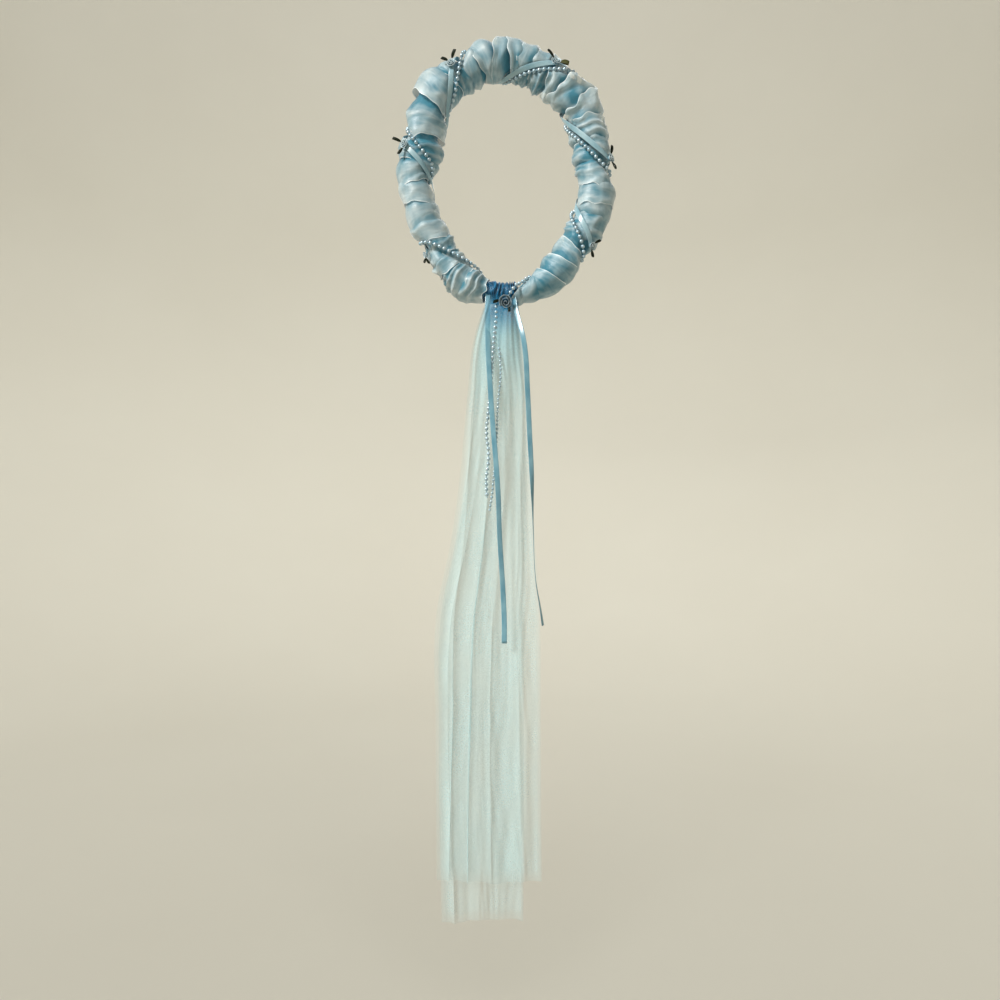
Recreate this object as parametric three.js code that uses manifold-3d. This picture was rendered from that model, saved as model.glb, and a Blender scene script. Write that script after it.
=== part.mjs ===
// Flower crown with veil, in millimetres. An oval hoop is wrapped in gathered organza, wound with
// a satin ribbon and a pearl string, set with ribbon roses, and carries a two-layer tulle veil.
// +Z is up and the front faces -Y. The crown hangs on a nail: the origin is the point inside its
// top that rests on the nail, halfway through its depth.

import * as THREE from "three";
import { mergeVertices } from "three/addons/utils/BufferGeometryUtils.js";
import Module from "manifold-3d";

const wasm = await Module();
wasm.setup();

// Driving dimensions

const RING = { halfWidth: 90, topHeight: 114, bottomHeight: 119, centreZ: -90 };
const CORE = { radius: 4.5, steps: 36, sides: 6 };
const GAP = 0.4;

// The organza wrap runs counter-clockwise from the right of the veil header to its left, as a wall
// with more sides outside than inside. Ring angles are in degrees, from +X towards +Z.
const WRAP = { around: 12, liningAround: 8, wall: 1.8, back: 16 };

// One row for each fold: the ring angle of its ridge, and its reach from the hoop's centre line
// away from the opening, into the opening and to the front.
const FOLDS = [
  { at: -81, out: 11, in: 7, front: 11 },
  { at: -72, out: 14, in: 13, front: 16 },
  { at: -62, out: 16, in: 18, front: 19.5 },
  { at: -51, out: 17, in: 21, front: 20 },
  { at: -40, out: 17.5, in: 20.5, front: 19 },
  { at: -29, out: 19.5, in: 20, front: 20 },
  { at: -18, out: 21, in: 17.5, front: 20 },
  { at: -7, out: 21.5, in: 17, front: 20 },
  { at: 4, out: 18, in: 22.5, front: 20 },
  { at: 15, out: 18, in: 23, front: 20 },
  { at: 25, out: 21, in: 21.5, front: 21.5 },
  { at: 35, out: 24.5, in: 20, front: 22 },
  { at: 46, out: 21.5, in: 22, front: 21.5 },
  { at: 57, out: 18, in: 24.5, front: 20 },
  { at: 67, out: 17.5, in: 25, front: 20 },
  { at: 77, out: 18.5, in: 23, front: 21 },
  { at: 88, out: 21, in: 22, front: 22 },
  { at: 99, out: 23.5, in: 22, front: 22 },
  { at: 109, out: 21, in: 21, front: 20.5 },
  { at: 119, out: 18.5, in: 20.5, front: 19.5 },
  { at: 129, out: 26, in: 20, front: 21.5 },
  { at: 140, out: 28, in: 17, front: 22 },
  { at: 151, out: 22.5, in: 23, front: 22 },
  { at: 161, out: 20.5, in: 28, front: 22 },
  { at: 172, out: 19.5, in: 27, front: 21 },
  { at: 183, out: 19, in: 19, front: 19 },
  { at: 195, out: 15.5, in: 18.5, front: 19 },
  { at: 207, out: 16, in: 22, front: 19 },
  { at: 219, out: 12, in: 22, front: 18 },
  { at: 231, out: 15, in: 20, front: 19.5 },
  { at: 243, out: 20, in: 18, front: 20.5 },
  { at: 256, out: 17, in: 16, front: 17 },
];

// From one ridge to the next the cloth falls slowly into the valley and climbs out quickly.
const FOLD_STEPS = [
  { share: 0, level: 1 },
  { share: 0.38, level: 0.94 },
  { share: 0.72, level: 0.85 },
];

// The ribbon and the pearls wind seven times round the wrap: each turn crosses the front from the
// outer side of the crown to the inner side, and comes back behind it. A rose sits on the ribbon of
// each turn but the first, this far round from the outer side.
const TURNS = [
  { outer: -90, front: -83, inner: -67 },
  { outer: -44, front: -32.5, inner: -18.5, rose: 46 },
  { outer: -1, front: 7.5, inner: 31, rose: 44 },
  { outer: 48, front: 60.5, inner: 90, rose: 70 },
  { outer: 111, front: 123, inner: 146, rose: 70 },
  { outer: 158.5, front: 170.5, inner: 186, rose: 60 },
  { outer: 215, front: 221.5, inner: 251, rose: 32 },
];
const WINDING = { end: 270, startTurn: 85, stopTurn: 2445, apart: 3, pinch: 0.2, pinchWidth: 9 };

const RIBBON = { width: 5, thickness: 1, stepsPerTurn: 16, lift: 1.2 };
const PEARLS = { diameter: 3.5, sides: 8, stepsPerTurn: 12, lift: 0.9 };

// A piece that lies on the wrap clears the highest point under it: steps across the piece, in half
// widths, and along it, in degrees of its turn.
const SEAT = { across: [-1.5, -0.75, 0, 0.75, 1.5], along: [-14, 0, 14] };

const HEADER = { from: 256.5, to: 278.5, radius: 11.5, rib: 0.7, ribs: 5, steps: 10, around: 10 };

// Each veil layer hangs from the header: drop below the layer's top, and its left and right edges.
// Gathers run down each layer and grow deeper towards the hem.
const VEIL_TOP_Z = -221.3;
const VEIL = { thickness: 1, steps: 11, topDepth: 4.2, hemDepth: 7.4, apart: 1.2 };
const GATHERS = { count: 5, points: 4, bunching: 0.1, bunches: 9, swell: 0.18, swells: 11, sway: 0.016 };
const FRONT_LAYER = [
  { drop: 0, left: -20, right: 13 },
  { drop: 32, left: -30, right: 17 },
  { drop: 95, left: -38, right: 25 },
  { drop: 170, left: -45, right: 28 },
  { drop: 235, left: -54, right: 29.5 },
  { drop: 305, left: -68, right: 34 },
  { drop: 420, left: -69, right: 35 },
  { drop: 573, left: -68, right: 36 },
];
const BACK_LAYER = [
  { drop: 0, left: -20, right: 12 },
  { drop: 32, left: -26, right: 15 },
  { drop: 95, left: -33, right: 20 },
  { drop: 170, left: -40, right: 22 },
  { drop: 235, left: -50, right: 22 },
  { drop: 305, left: -64, right: 20 },
  { drop: 420, left: -67, right: 19 },
  { drop: 530, left: -66, right: 19 },
  { drop: 618, left: -64, right: 18 },
];

// Free ends of the ribbon and the pearl string, which hang in front of the veil. The ribbon's
// twist turns its face from the front, in degrees.
const RIBBON_TAIL_LEFT = [
  { x: -17.3, y: -12.9, z: -211, twist: 0 },
  { x: -17.5, y: -13.4, z: -222, twist: 0 },
  { x: -17.4, y: -14.4, z: -240, twist: 5 },
  { x: -17, y: -16.2, z: -265, twist: 5 },
  { x: -15, y: -18.4, z: -302, twist: 0 },
  { x: -12.6, y: -18.6, z: -338, twist: -5 },
  { x: -9.5, y: -18.6, z: -375, twist: -5 },
  { x: -7.3, y: -18.6, z: -405, twist: 15 },
  { x: -5.6, y: -18.2, z: -451, twist: 20 },
  { x: -2.4, y: -17.6, z: -503, twist: 10 },
  { x: -1.1, y: -17.2, z: -535, twist: 0 },
  { x: -1.1, y: -17, z: -555.5, twist: 0 },
];
const RIBBON_TAIL_RIGHT = [
  { x: 9.2, y: -11.8, z: -213, twist: 15 },
  { x: 10, y: -13.6, z: -225, twist: 25 },
  { x: 12.8, y: -14.6, z: -238, twist: 30 },
  { x: 17.5, y: -15, z: -256, twist: 20 },
  { x: 19.6, y: -15.2, z: -274, twist: 15 },
  { x: 21.4, y: -15.6, z: -302, twist: 10 },
  { x: 23.7, y: -16.2, z: -350, twist: 10 },
  { x: 25.7, y: -16.6, z: -387, twist: 25 },
  { x: 26.7, y: -17, z: -420, twist: 65 },
  { x: 27.4, y: -17.2, z: -446, twist: 80 },
  { x: 30, y: -17.4, z: -496, twist: 80 },
  { x: 34.4, y: -17.4, z: -522, twist: 70 },
  { x: 36.7, y: -17.4, z: -538, twist: 60 },
];
const PEARL_TAIL_LEFT = [
  { x: -9.4, y: -12.8, z: -218.4 },
  { x: -9.2, y: -14, z: -226 },
  { x: -9.2, y: -14.2, z: -236 },
  { x: -10.8, y: -14.4, z: -251 },
  { x: -12.6, y: -14.6, z: -275 },
  { x: -15.3, y: -15, z: -312 },
  { x: -17.4, y: -15.2, z: -334 },
  { x: -18.6, y: -15.2, z: -346 },
  { x: -18, y: -15.2, z: -357 },
  { x: -16.5, y: -15.2, z: -368 },
  { x: -17, y: -15.2, z: -379 },
  { x: -18.7, y: -15.2, z: -393 },
  { x: -18.7, y: -15.2, z: -403 },
  { x: -18, y: -15.2, z: -413 },
];
const PEARL_TAIL_RIGHT = [
  { x: -2.6, y: -13.8, z: -227 },
  { x: -4.4, y: -14.2, z: -240 },
  { x: -6.5, y: -14.4, z: -262 },
  { x: -4.9, y: -14.6, z: -280 },
  { x: -4.9, y: -14.8, z: -297 },
  { x: -6.5, y: -15, z: -311 },
  { x: -7.7, y: -15.2, z: -327 },
  { x: -8.3, y: -15.2, z: -347 },
  { x: -9.8, y: -15.2, z: -372 },
  { x: -11.8, y: -15.2, z: -396 },
  { x: -14, y: -15.2, z: -416 },
  { x: -15.6, y: -15.2, z: -425 },
];
const TAIL_STEPS = { ribbon: 22, pearls: 17 };

// A ribbon rose is a coiled strip on a disc, with a short foot that is sewn to the ribbon.
const ROSE = { radius: 4.6, eye: 1.1, wall: 0.9, height: 3.8, turns: 2, steps: 9, disc: 1 };
const ROSE_FOOT = { radius: 2, height: 1.4, sides: 8 };
const BOTTOM_ROSE = { at: -89.8, turn: 60, size: 1.35 };

// A leaf is a narrow loop of ribbon that springs from the side of its rose. Its half outline has
// the distance along the leaf and the half height there.
const LEAF = { width: 2.6, wall: 0.75, seat: 3.2 };
const LEAF_OUTLINE = [
  { along: 0, half: 0.6 },
  { along: 3.5, half: 0.85 },
  { along: 6, half: 1.6 },
  { along: 8, half: 1.7 },
  { along: 9.4, half: 0.9 },
];
// Two leaves for each rose, in the order of the turns: the way that the leaf points round the
// rose, from the ring's direction, and its rise from the rose's base, both in degrees.
const LEAVES = [
  [{ heading: 172, rise: 35 }, { heading: 302, rise: 64 }],
  [{ heading: 198, rise: 35 }, { heading: 350, rise: 40 }],
  [{ heading: 355, rise: 30 }, { heading: 195, rise: 35 }],
  [{ heading: 350, rise: 35 }, { heading: 203, rise: 30 }],
  [{ heading: 285, rise: 30 }, { heading: 216, rise: 35 }],
  [{ heading: 258, rise: 30 }, { heading: 352, rise: 30 }],
  [{ heading: 345, rise: 35 }, { heading: 270, rise: 50 }],
];

const COLOURS = {
  organza: "#b9d6e2",
  tulle: "#a9d3e0",
  header: "#2f7fb0",
  ribbon: "#8fc0d8",
  pearl: "#dfe9ec",
  rose: "#cfe2ea",
  leaf: "#1f2f22",
  core: "#4f8fb0",
};

// Small helpers

const FRONT = new THREE.Vector3(0, -1, 0);
const radians = THREE.MathUtils.degToRad;

function cloth(colour, roughness = 0.7) {
  return new THREE.MeshStandardMaterial({ color: colour, roughness, metalness: 0 });
}

function named(name, geometry, material) {
  const mesh = new THREE.Mesh(geometry, material);
  mesh.name = name;
  return mesh;
}

// A geometry from points and triangles, turned to face out.
function facingOut(points, triangles) {
  let volume = 0;
  for (const [a, b, c] of triangles) {
    volume += points[a].dot(new THREE.Vector3().crossVectors(points[b], points[c]));
  }
  const order = volume < 0 ? triangles.map(([a, b, c]) => [a, c, b]) : triangles;
  const geometry = new THREE.BufferGeometry().setFromPoints(points);
  geometry.setIndex(order.flat());
  geometry.computeVertexNormals();
  return geometry;
}

function sideTriangles(steps, around, wrapsRound, first = 0) {
  const made = [];
  const last = wrapsRound ? steps : steps - 1;
  for (let i = 0; i < last; i++) {
    for (let j = 0; j < around; j++) {
      const a = first + i * around + j;
      const b = first + i * around + ((j + 1) % around);
      const c = first + ((i + 1) % steps) * around + j;
      const d = first + ((i + 1) % steps) * around + ((j + 1) % around);
      made.push([a, b, d], [a, d, c]);
    }
  }
  return made;
}

// A closed solid through rings of convex sections. With closed, the last ring joins the first.
function skin(rings, closed = false) {
  const around = rings[0].length;
  const triangles = sideTriangles(rings.length, around, closed);
  if (!closed) {
    const end = (rings.length - 1) * around;
    for (let j = 1; j < around - 1; j++) {
      triangles.push([0, j + 1, j], [end, end + j, end + j + 1]);
    }
  }
  return facingOut(rings.flat(), triangles);
}

// A value read from a table of rows by one column, along straight lines between the rows.
function lookUp(rows, key, at, column) {
  const next = rows.findIndex((row) => row[key] >= at);
  if (next === 0) return rows[0][column];
  if (next < 0) return rows[rows.length - 1][column];
  const [a, b] = [rows[next - 1], rows[next]];
  return THREE.MathUtils.mapLinear(at, a[key], b[key], a[column], b[column]);
}

// The same, along a smooth curve through the rows.
function curveThrough(rows, key, at, column) {
  const i = Math.max(1, rows.findIndex((row) => row[key] >= at));
  const [a, b] = [rows[i - 1], rows[i]];
  const [before, after] = [rows[Math.max(i - 2, 0)], rows[Math.min(i + 1, rows.length - 1)]];
  const slope = (from, to) => (to[column] - from[column]) / (to[key] - from[key]);
  const span = b[key] - a[key];
  const t = (at - a[key]) / span;
  return (
    a[column] * (1 + 2 * t) * (1 - t) ** 2 +
    slope(before, b) * span * t * (1 - t) ** 2 +
    b[column] * t * t * (3 - 2 * t) +
    slope(a, after) * span * t * t * (t - 1)
  );
}

function solidOf(geometry) {
  const bare = geometry.clone().deleteAttribute("normal").deleteAttribute("uv");
  const merged = mergeVertices(bare, 1e-4);
  const mesh = new wasm.Mesh({
    numProp: 3,
    vertProperties: merged.attributes.position.array,
    triVerts: new Uint32Array(merged.index.array),
  });
  return new wasm.Manifold(mesh);
}

function geometryOf(solid) {
  const mesh = solid.getMesh();
  const geometry = new THREE.BufferGeometry();
  geometry.setAttribute("position", new THREE.BufferAttribute(mesh.vertProperties, 3));
  geometry.setIndex(new THREE.BufferAttribute(mesh.triVerts, 1));
  geometry.computeVertexNormals();
  return geometry;
}

// The hoop's centre line and the directions round it

function ringCentre(degrees) {
  const angle = radians(degrees);
  const height = Math.sin(angle) >= 0 ? RING.topHeight : RING.bottomHeight;
  const z = RING.centreZ + height * Math.sin(angle);
  return new THREE.Vector3(RING.halfWidth * Math.cos(angle), 0, z);
}

function ringAlong(degrees) {
  const angle = radians(degrees);
  const height = Math.sin(angle) >= 0 ? RING.topHeight : RING.bottomHeight;
  return new THREE.Vector3(-RING.halfWidth * Math.sin(angle), 0, height * Math.cos(angle)).normalize();
}

// The direction away from the centre line: turn 0 points out of the crown, 90 to the front,
// 180 into the opening and 270 to the back.
function ringAway(degrees, turn) {
  const along = ringAlong(degrees);
  const out = new THREE.Vector3(along.z, 0, -along.x);
  return out.multiplyScalar(Math.cos(radians(turn))).addScaledVector(FRONT, Math.sin(radians(turn)));
}

function ringPoint(degrees, turn, distance) {
  return ringCentre(degrees).addScaledVector(ringAway(degrees, turn), distance);
}

function ringSection(degrees, sides, radiusAt) {
  return Array.from({ length: sides }, (_, j) => {
    const turn = (360 * j) / sides;
    return ringPoint(degrees, turn, radiusAt(turn));
  });
}

function coreGeometry() {
  const rings = [];
  for (let i = 0; i < CORE.steps; i++) {
    rings.push(ringSection((360 * i) / CORE.steps, CORE.sides, () => CORE.radius));
  }
  return skin(rings, true);
}

// The winding: ring angle at a running turn, on a smooth curve through the crossings

const CROSSINGS = TURNS.flatMap(({ outer, front, inner }, k) => [
  { turn: 360 * k, at: outer },
  { turn: 360 * k + 90, at: front },
  { turn: 360 * k + 180, at: inner },
]).concat({ turn: 360 * TURNS.length, at: WINDING.end });

function windingAngle(turn) {
  const within = THREE.MathUtils.clamp(turn, 0, CROSSINGS[CROSSINGS.length - 1].turn);
  return curveThrough(CROSSINGS, "turn", within, "at");
}

const MM_PER_DEGREE = ((RING.halfWidth + RING.topHeight) / 2) * (Math.PI / 180);

// How far the winding pulls the organza in, from 0 to 1.
function pinchAt(degrees, turn) {
  let most = 0;
  for (let k = 0; k < TURNS.length; k++) {
    const away = (degrees - windingAngle(turn + 360 * k)) * MM_PER_DEGREE;
    most = Math.max(most, Math.exp(-((away / WINDING.pinchWidth) ** 2)));
  }
  return most;
}

// The organza wrap: an outer wall with folds, and a lining wall inside it

function wrapReach(degrees, turn, level) {
  const [cos, sin] = [Math.cos(radians(turn)), Math.sin(radians(turn))];
  const side = lookUp(FOLDS, "at", degrees, cos >= 0 ? "out" : "in");
  const front = lookUp(FOLDS, "at", degrees, "front");
  const depth = sin >= 0 ? front : Math.min(front, WRAP.back);
  const reach = 1 / Math.hypot(cos / side, sin / depth);
  return reach * level * (1 - WINDING.pinch * pinchAt(degrees, turn));
}

const STATIONS = FOLDS.slice(0, -1)
  .flatMap((fold, i) =>
    FOLD_STEPS.map((step) => ({
      at: THREE.MathUtils.lerp(fold.at, FOLDS[i + 1].at, step.share),
      level: step.level,
    })),
  )
  .concat({ at: FOLDS[FOLDS.length - 1].at, level: 1 });

const WRAP_RINGS = STATIONS.map(({ at, level }) =>
  ringSection(at, WRAP.around, (turn) => wrapReach(at, turn, level)),
);

function organzaGeometry() {
  const lining = STATIONS.map(({ at, level }) =>
    ringSection(at, WRAP.liningAround, (turn) => wrapReach(at, turn, level) - WRAP.wall),
  );
  const points = [...WRAP_RINGS.flat(), ...lining.flat()];
  const inside = WRAP_RINGS.length * WRAP.around;
  const outer = sideTriangles(STATIONS.length, WRAP.around, false);
  const inner = sideTriangles(STATIONS.length, WRAP.liningAround, false, inside);
  const lastOuter = (STATIONS.length - 1) * WRAP.around;
  const lastInner = inside + (STATIONS.length - 1) * WRAP.liningAround;
  const triangles = [
    ...outer,
    ...inner.map(([a, b, c]) => [a, c, b]),
    ...rim(0, inside).map(([a, b, c]) => [a, c, b]),
    ...rim(lastOuter, lastInner),
  ];
  return facingOut(points, triangles);
}

// The flat end of the wall, between a ring of the outer wall and one of the lining.
function rim(outerStart, innerStart) {
  const made = [];
  let [i, j] = [0, 0];
  while (i < WRAP.around || j < WRAP.liningAround) {
    const a = outerStart + (i % WRAP.around);
    const b = innerStart + (j % WRAP.liningAround);
    if ((i + 1) / WRAP.around <= (j + 1) / WRAP.liningAround) {
      made.push([a, outerStart + ((i + 1) % WRAP.around), b]);
      i++;
    } else {
      made.push([a, innerStart + ((j + 1) % WRAP.liningAround), b]);
      j++;
    }
  }
  return made;
}

// The distance from the centre line to the faceted wrap, or to the header past its ends.
function surfaceReach(degrees, turn) {
  const next = STATIONS.findIndex((station) => station.at > degrees);
  if (next <= 0) return HEADER.radius + HEADER.rib;
  const [a, b] = [STATIONS[next - 1].at, STATIONS[next].at];
  const s = (degrees - a) / (b - a);
  const cell = ((((turn % 360) + 360) % 360) / 360) * WRAP.around;
  const j = Math.floor(cell) % WRAP.around;
  const k = (j + 1) % WRAP.around;
  const mix = (ring) => ring[j].clone().lerp(ring[k], cell - Math.floor(cell));
  return mix(WRAP_RINGS[next - 1]).lerp(mix(WRAP_RINGS[next]), s).distanceTo(ringCentre(degrees));
}

// The highest that the surface comes under a strip of the given half width across the winding.
function seatReach(degrees, turn, half) {
  const tries = SEAT.across.flatMap((share) =>
    SEAT.along.map((step) => surfaceReach(degrees + (share * half) / MM_PER_DEGREE, turn + step)),
  );
  return Math.max(...tries);
}

function windingTurns(stepsPerTurn) {
  const steps = Math.round(((WINDING.stopTurn - WINDING.startTurn) * stepsPerTurn) / 360);
  return Array.from({ length: steps + 1 }, (_, i) =>
    THREE.MathUtils.lerp(WINDING.startTurn, WINDING.stopTurn, i / steps),
  );
}

// The ribbon's section at a running turn: flat on the wrap, across the winding.
function woundRibbonSeat(turn) {
  const at = windingAngle(turn) + WINDING.apart;
  return { at, reach: seatReach(at, turn, RIBBON.width / 2) + GAP + RIBBON.lift + RIBBON.thickness / 2 };
}

function woundRibbonGeometry() {
  const place = (turn) => {
    const { at, reach } = woundRibbonSeat(turn);
    return ringPoint(at, turn, reach);
  };
  const rings = windingTurns(RIBBON.stepsPerTurn).map((turn) => {
    const centre = place(turn);
    const away = ringAway(windingAngle(turn) + WINDING.apart, turn);
    const ahead = place(turn + 6).sub(place(turn - 6)).normalize();
    const across = new THREE.Vector3().crossVectors(away, ahead).normalize();
    return ribbonSection(centre, across, away);
  });
  return skin(rings);
}

function ribbonSection(centre, across, away) {
  const [w, t] = [RIBBON.width / 2, RIBBON.thickness / 2];
  const corners = [[-w, -t], [w, -t], [w, t], [-w, t]];
  return corners.map(([x, y]) => centre.clone().addScaledVector(across, x).addScaledVector(away, y));
}

// The pearl strings: plain tubes of the pearls' diameter

function tubeGeometry(points, steps) {
  const circle = new THREE.Shape();
  for (let j = 0; j < PEARLS.sides; j++) {
    const angle = (2 * Math.PI * j) / PEARLS.sides;
    const at = [Math.cos(angle), Math.sin(angle)].map((c) => (c * PEARLS.diameter) / 2);
    if (j === 0) circle.moveTo(...at);
    else circle.lineTo(...at);
  }
  const path = new THREE.CatmullRomCurve3(points);
  return new THREE.ExtrudeGeometry(circle, { steps, extrudePath: path, bevelEnabled: false });
}

function woundPearlsGeometry() {
  const turns = windingTurns(PEARLS.stepsPerTurn);
  const points = turns.map((turn) => {
    const at = windingAngle(turn) - WINDING.apart;
    const seat = seatReach(at, turn, PEARLS.diameter / 2);
    return ringPoint(at, turn, seat + GAP + PEARLS.lift + PEARLS.diameter / 2);
  });
  return tubeGeometry(points, turns.length - 1);
}

const routePoints = (route) => route.map(({ x, y, z }) => new THREE.Vector3(x, y, z));

function ribbonTailGeometry(route) {
  const path = new THREE.CatmullRomCurve3(routePoints(route));
  const rings = Array.from({ length: TAIL_STEPS.ribbon + 1 }, (_, i) => {
    const t = i / TAIL_STEPS.ribbon;
    const centre = path.getPoint(t);
    const ahead = path.getTangent(t);
    const row = t * (route.length - 1);
    const [a, b] = [route[Math.floor(row)], route[Math.ceil(row)]];
    const twist = radians(THREE.MathUtils.lerp(a.twist, b.twist, row % 1));
    const away = FRONT.clone().applyAxisAngle(new THREE.Vector3(0, 0, 1), twist);
    const across = new THREE.Vector3().crossVectors(away, ahead).normalize();
    return ribbonSection(centre, across, new THREE.Vector3().crossVectors(ahead, across));
  });
  return skin(rings);
}

// The veil: a gathered header round the hoop, and two gathered layers of tulle below it

function headerGeometry() {
  const walls = [[], []];
  for (let i = 0; i <= HEADER.steps; i++) {
    const share = i / HEADER.steps;
    const at = THREE.MathUtils.lerp(HEADER.from, HEADER.to, share);
    const rib = HEADER.rib * Math.cos(2 * Math.PI * HEADER.ribs * share);
    walls[0].push(ringSection(at, HEADER.around, () => HEADER.radius + rib));
    walls[1].push(ringSection(at, HEADER.around, () => CORE.radius + 2 * GAP));
  }
  return skin([...walls[0], ...walls[1].reverse()], true);
}

// One layer's edge-to-edge line at a drop. Side is -1 for the front layer and 1 for the back one.
function gatherLine(rows, drop, side) {
  const left = curveThrough(rows, "drop", drop, "left");
  const right = curveThrough(rows, "drop", drop, "right");
  const longest = BACK_LAYER[BACK_LAYER.length - 1].drop;
  const depth = THREE.MathUtils.lerp(VEIL.topDepth, VEIL.hemDepth, drop / longest);
  const count = GATHERS.count * GATHERS.points;
  return Array.from({ length: count + 1 }, (_, i) => {
    const share = i / count;
    const bunch = GATHERS.bunching * Math.sin(GATHERS.bunches * share + side);
    const wave = Math.sin(2 * Math.PI * (GATHERS.count * share + bunch));
    const swell = 1 - GATHERS.swell * (1 - Math.sin(GATHERS.swells * share + 2 * side));
    const sway = GATHERS.sway * Math.sin(Math.PI * share) * Math.sin((drop * GATHERS.count) / longest + side);
    const x = THREE.MathUtils.lerp(left, right, share + sway);
    const y = side * (depth + VEIL.apart) + depth * swell * wave;
    return new THREE.Vector3(x, y, VEIL_TOP_Z - drop);
  });
}

function veilLayerGeometry(rows, side) {
  const half = VEIL.thickness / 2;
  const rings = Array.from({ length: VEIL.steps + 1 }, (_, k) => {
    const line = gatherLine(rows, (rows[rows.length - 1].drop * k) / VEIL.steps, side);
    const off = line.map((_, i) => {
      const across = line[Math.min(i + 1, line.length - 1)].clone().sub(line[Math.max(i - 1, 0)]);
      return new THREE.Vector3(-across.y, across.x, 0).normalize().multiplyScalar(half);
    });
    const near = line.map((p, i) => p.clone().sub(off[i]));
    const far = line.map((p, i) => p.clone().add(off[i]));
    return [...near, ...far.reverse()];
  });
  const around = rings[0].length;
  const triangles = sideTriangles(rings.length, around, false);
  const end = (rings.length - 1) * around;
  for (let i = 0; i < around / 2 - 1; i++) {
    const [a, b, c, d] = [i, i + 1, around - 2 - i, around - 1 - i];
    triangles.push([a, c, b], [a, d, c], [end + a, end + b, end + c], [end + a, end + c, end + d]);
  }
  return facingOut(rings.flat(), triangles);
}

// Roses and leaves, made round their own axis with the foot's end at the origin

// The coil's inner radius at a share of its length.
const coilRadius = (share) => THREE.MathUtils.lerp(ROSE.eye, ROSE.radius - ROSE.wall, share);

function roseGeometry() {
  const coil = (shift) =>
    Array.from({ length: ROSE.steps + 1 }, (_, i) => {
      const share = i / ROSE.steps;
      const angle = 2 * Math.PI * ROSE.turns * share;
      const radius = coilRadius(share) + shift;
      return new THREE.Vector2(radius * Math.cos(angle), radius * Math.sin(angle));
    });
  const strip = new THREE.Shape([...coil(ROSE.wall), ...coil(0).reverse()]);
  const petals = new THREE.ExtrudeGeometry(strip, { depth: ROSE.height, bevelEnabled: false });
  petals.translate(0, 0, ROSE_FOOT.height + ROSE.disc / 2);
  const profile = [
    new THREE.Vector2(0, 0),
    new THREE.Vector2(ROSE_FOOT.radius, 0),
    new THREE.Vector2(ROSE_FOOT.radius, ROSE_FOOT.height),
    new THREE.Vector2(ROSE.radius - ROSE.wall, ROSE_FOOT.height),
    new THREE.Vector2(ROSE.radius - ROSE.wall, ROSE_FOOT.height + ROSE.disc),
    new THREE.Vector2(0, ROSE_FOOT.height + ROSE.disc),
  ];
  const base = new THREE.LatheGeometry(profile, ROSE_FOOT.sides).rotateX(Math.PI / 2);
  return geometryOf(solidOf(petals).add(solidOf(base)));
}

function leafGeometry() {
  const loop = (rows, wall) => [
    ...rows.map(({ along, half }) => new THREE.Vector2(along - wall, wall - half)),
    ...[...rows].reverse().map(({ along, half }) => new THREE.Vector2(along - wall, half - wall)),
  ];
  const shape = new THREE.Shape(loop(LEAF_OUTLINE, 0));
  shape.holes.push(new THREE.Path(loop(LEAF_OUTLINE.slice(1), LEAF.wall)));
  const leaf = new THREE.ExtrudeGeometry(shape, { depth: LEAF.width, bevelEnabled: false });
  return leaf.translate(0, 0, -LEAF.width / 2).rotateX(Math.PI / 2);
}

// A group that stands on the crown, with Z away from the ring and X along it.
function standingOn(point, away, along) {
  const group = new THREE.Group();
  const x = along.clone().addScaledVector(away, -along.dot(away)).normalize();
  const y = new THREE.Vector3().crossVectors(away, x);
  group.quaternion.setFromRotationMatrix(new THREE.Matrix4().makeBasis(x, y, away));
  group.position.copy(point);
  return group;
}

function roseSeat(index) {
  if (index === 0) return { ...BOTTOM_ROSE, reach: HEADER.radius + HEADER.rib + GAP };
  const turn = 360 * index + TURNS[index].rose;
  const { at, reach } = woundRibbonSeat(turn);
  return { at, turn, size: 1, reach: reach + RIBBON.thickness / 2 + 1.5 * GAP };
}

function roseWithLeaves(index) {
  const { at, turn, size, reach } = roseSeat(index);
  const group = standingOn(ringPoint(at, turn, reach), ringAway(at, turn), ringAlong(at));
  const number = index + 1;
  const rose = named(`rose_${number}`, roseGeometry(), cloth(COLOURS.rose, 0.45));
  rose.scale.setScalar(size);
  group.add(rose);
  LEAVES[index].forEach(({ heading, rise }, i) => {
    const leaf = named(`leaf_${number}_${i + 1}`, leafGeometry(), cloth(COLOURS.leaf, 0.6));
    const side = size * (coilRadius(1 - (1 - heading / 360) / ROSE.turns) + ROSE.wall);
    const root = LEAF_OUTLINE[0].half * Math.sin(radians(rise));
    leaf.position.set(side + GAP + root, 0, LEAF.seat);
    leaf.rotation.y = -radians(rise);
    const pivot = new THREE.Group();
    pivot.rotation.z = radians(heading);
    pivot.add(leaf);
    group.add(pivot);
  });
  return group;
}

// The assembly

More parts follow.
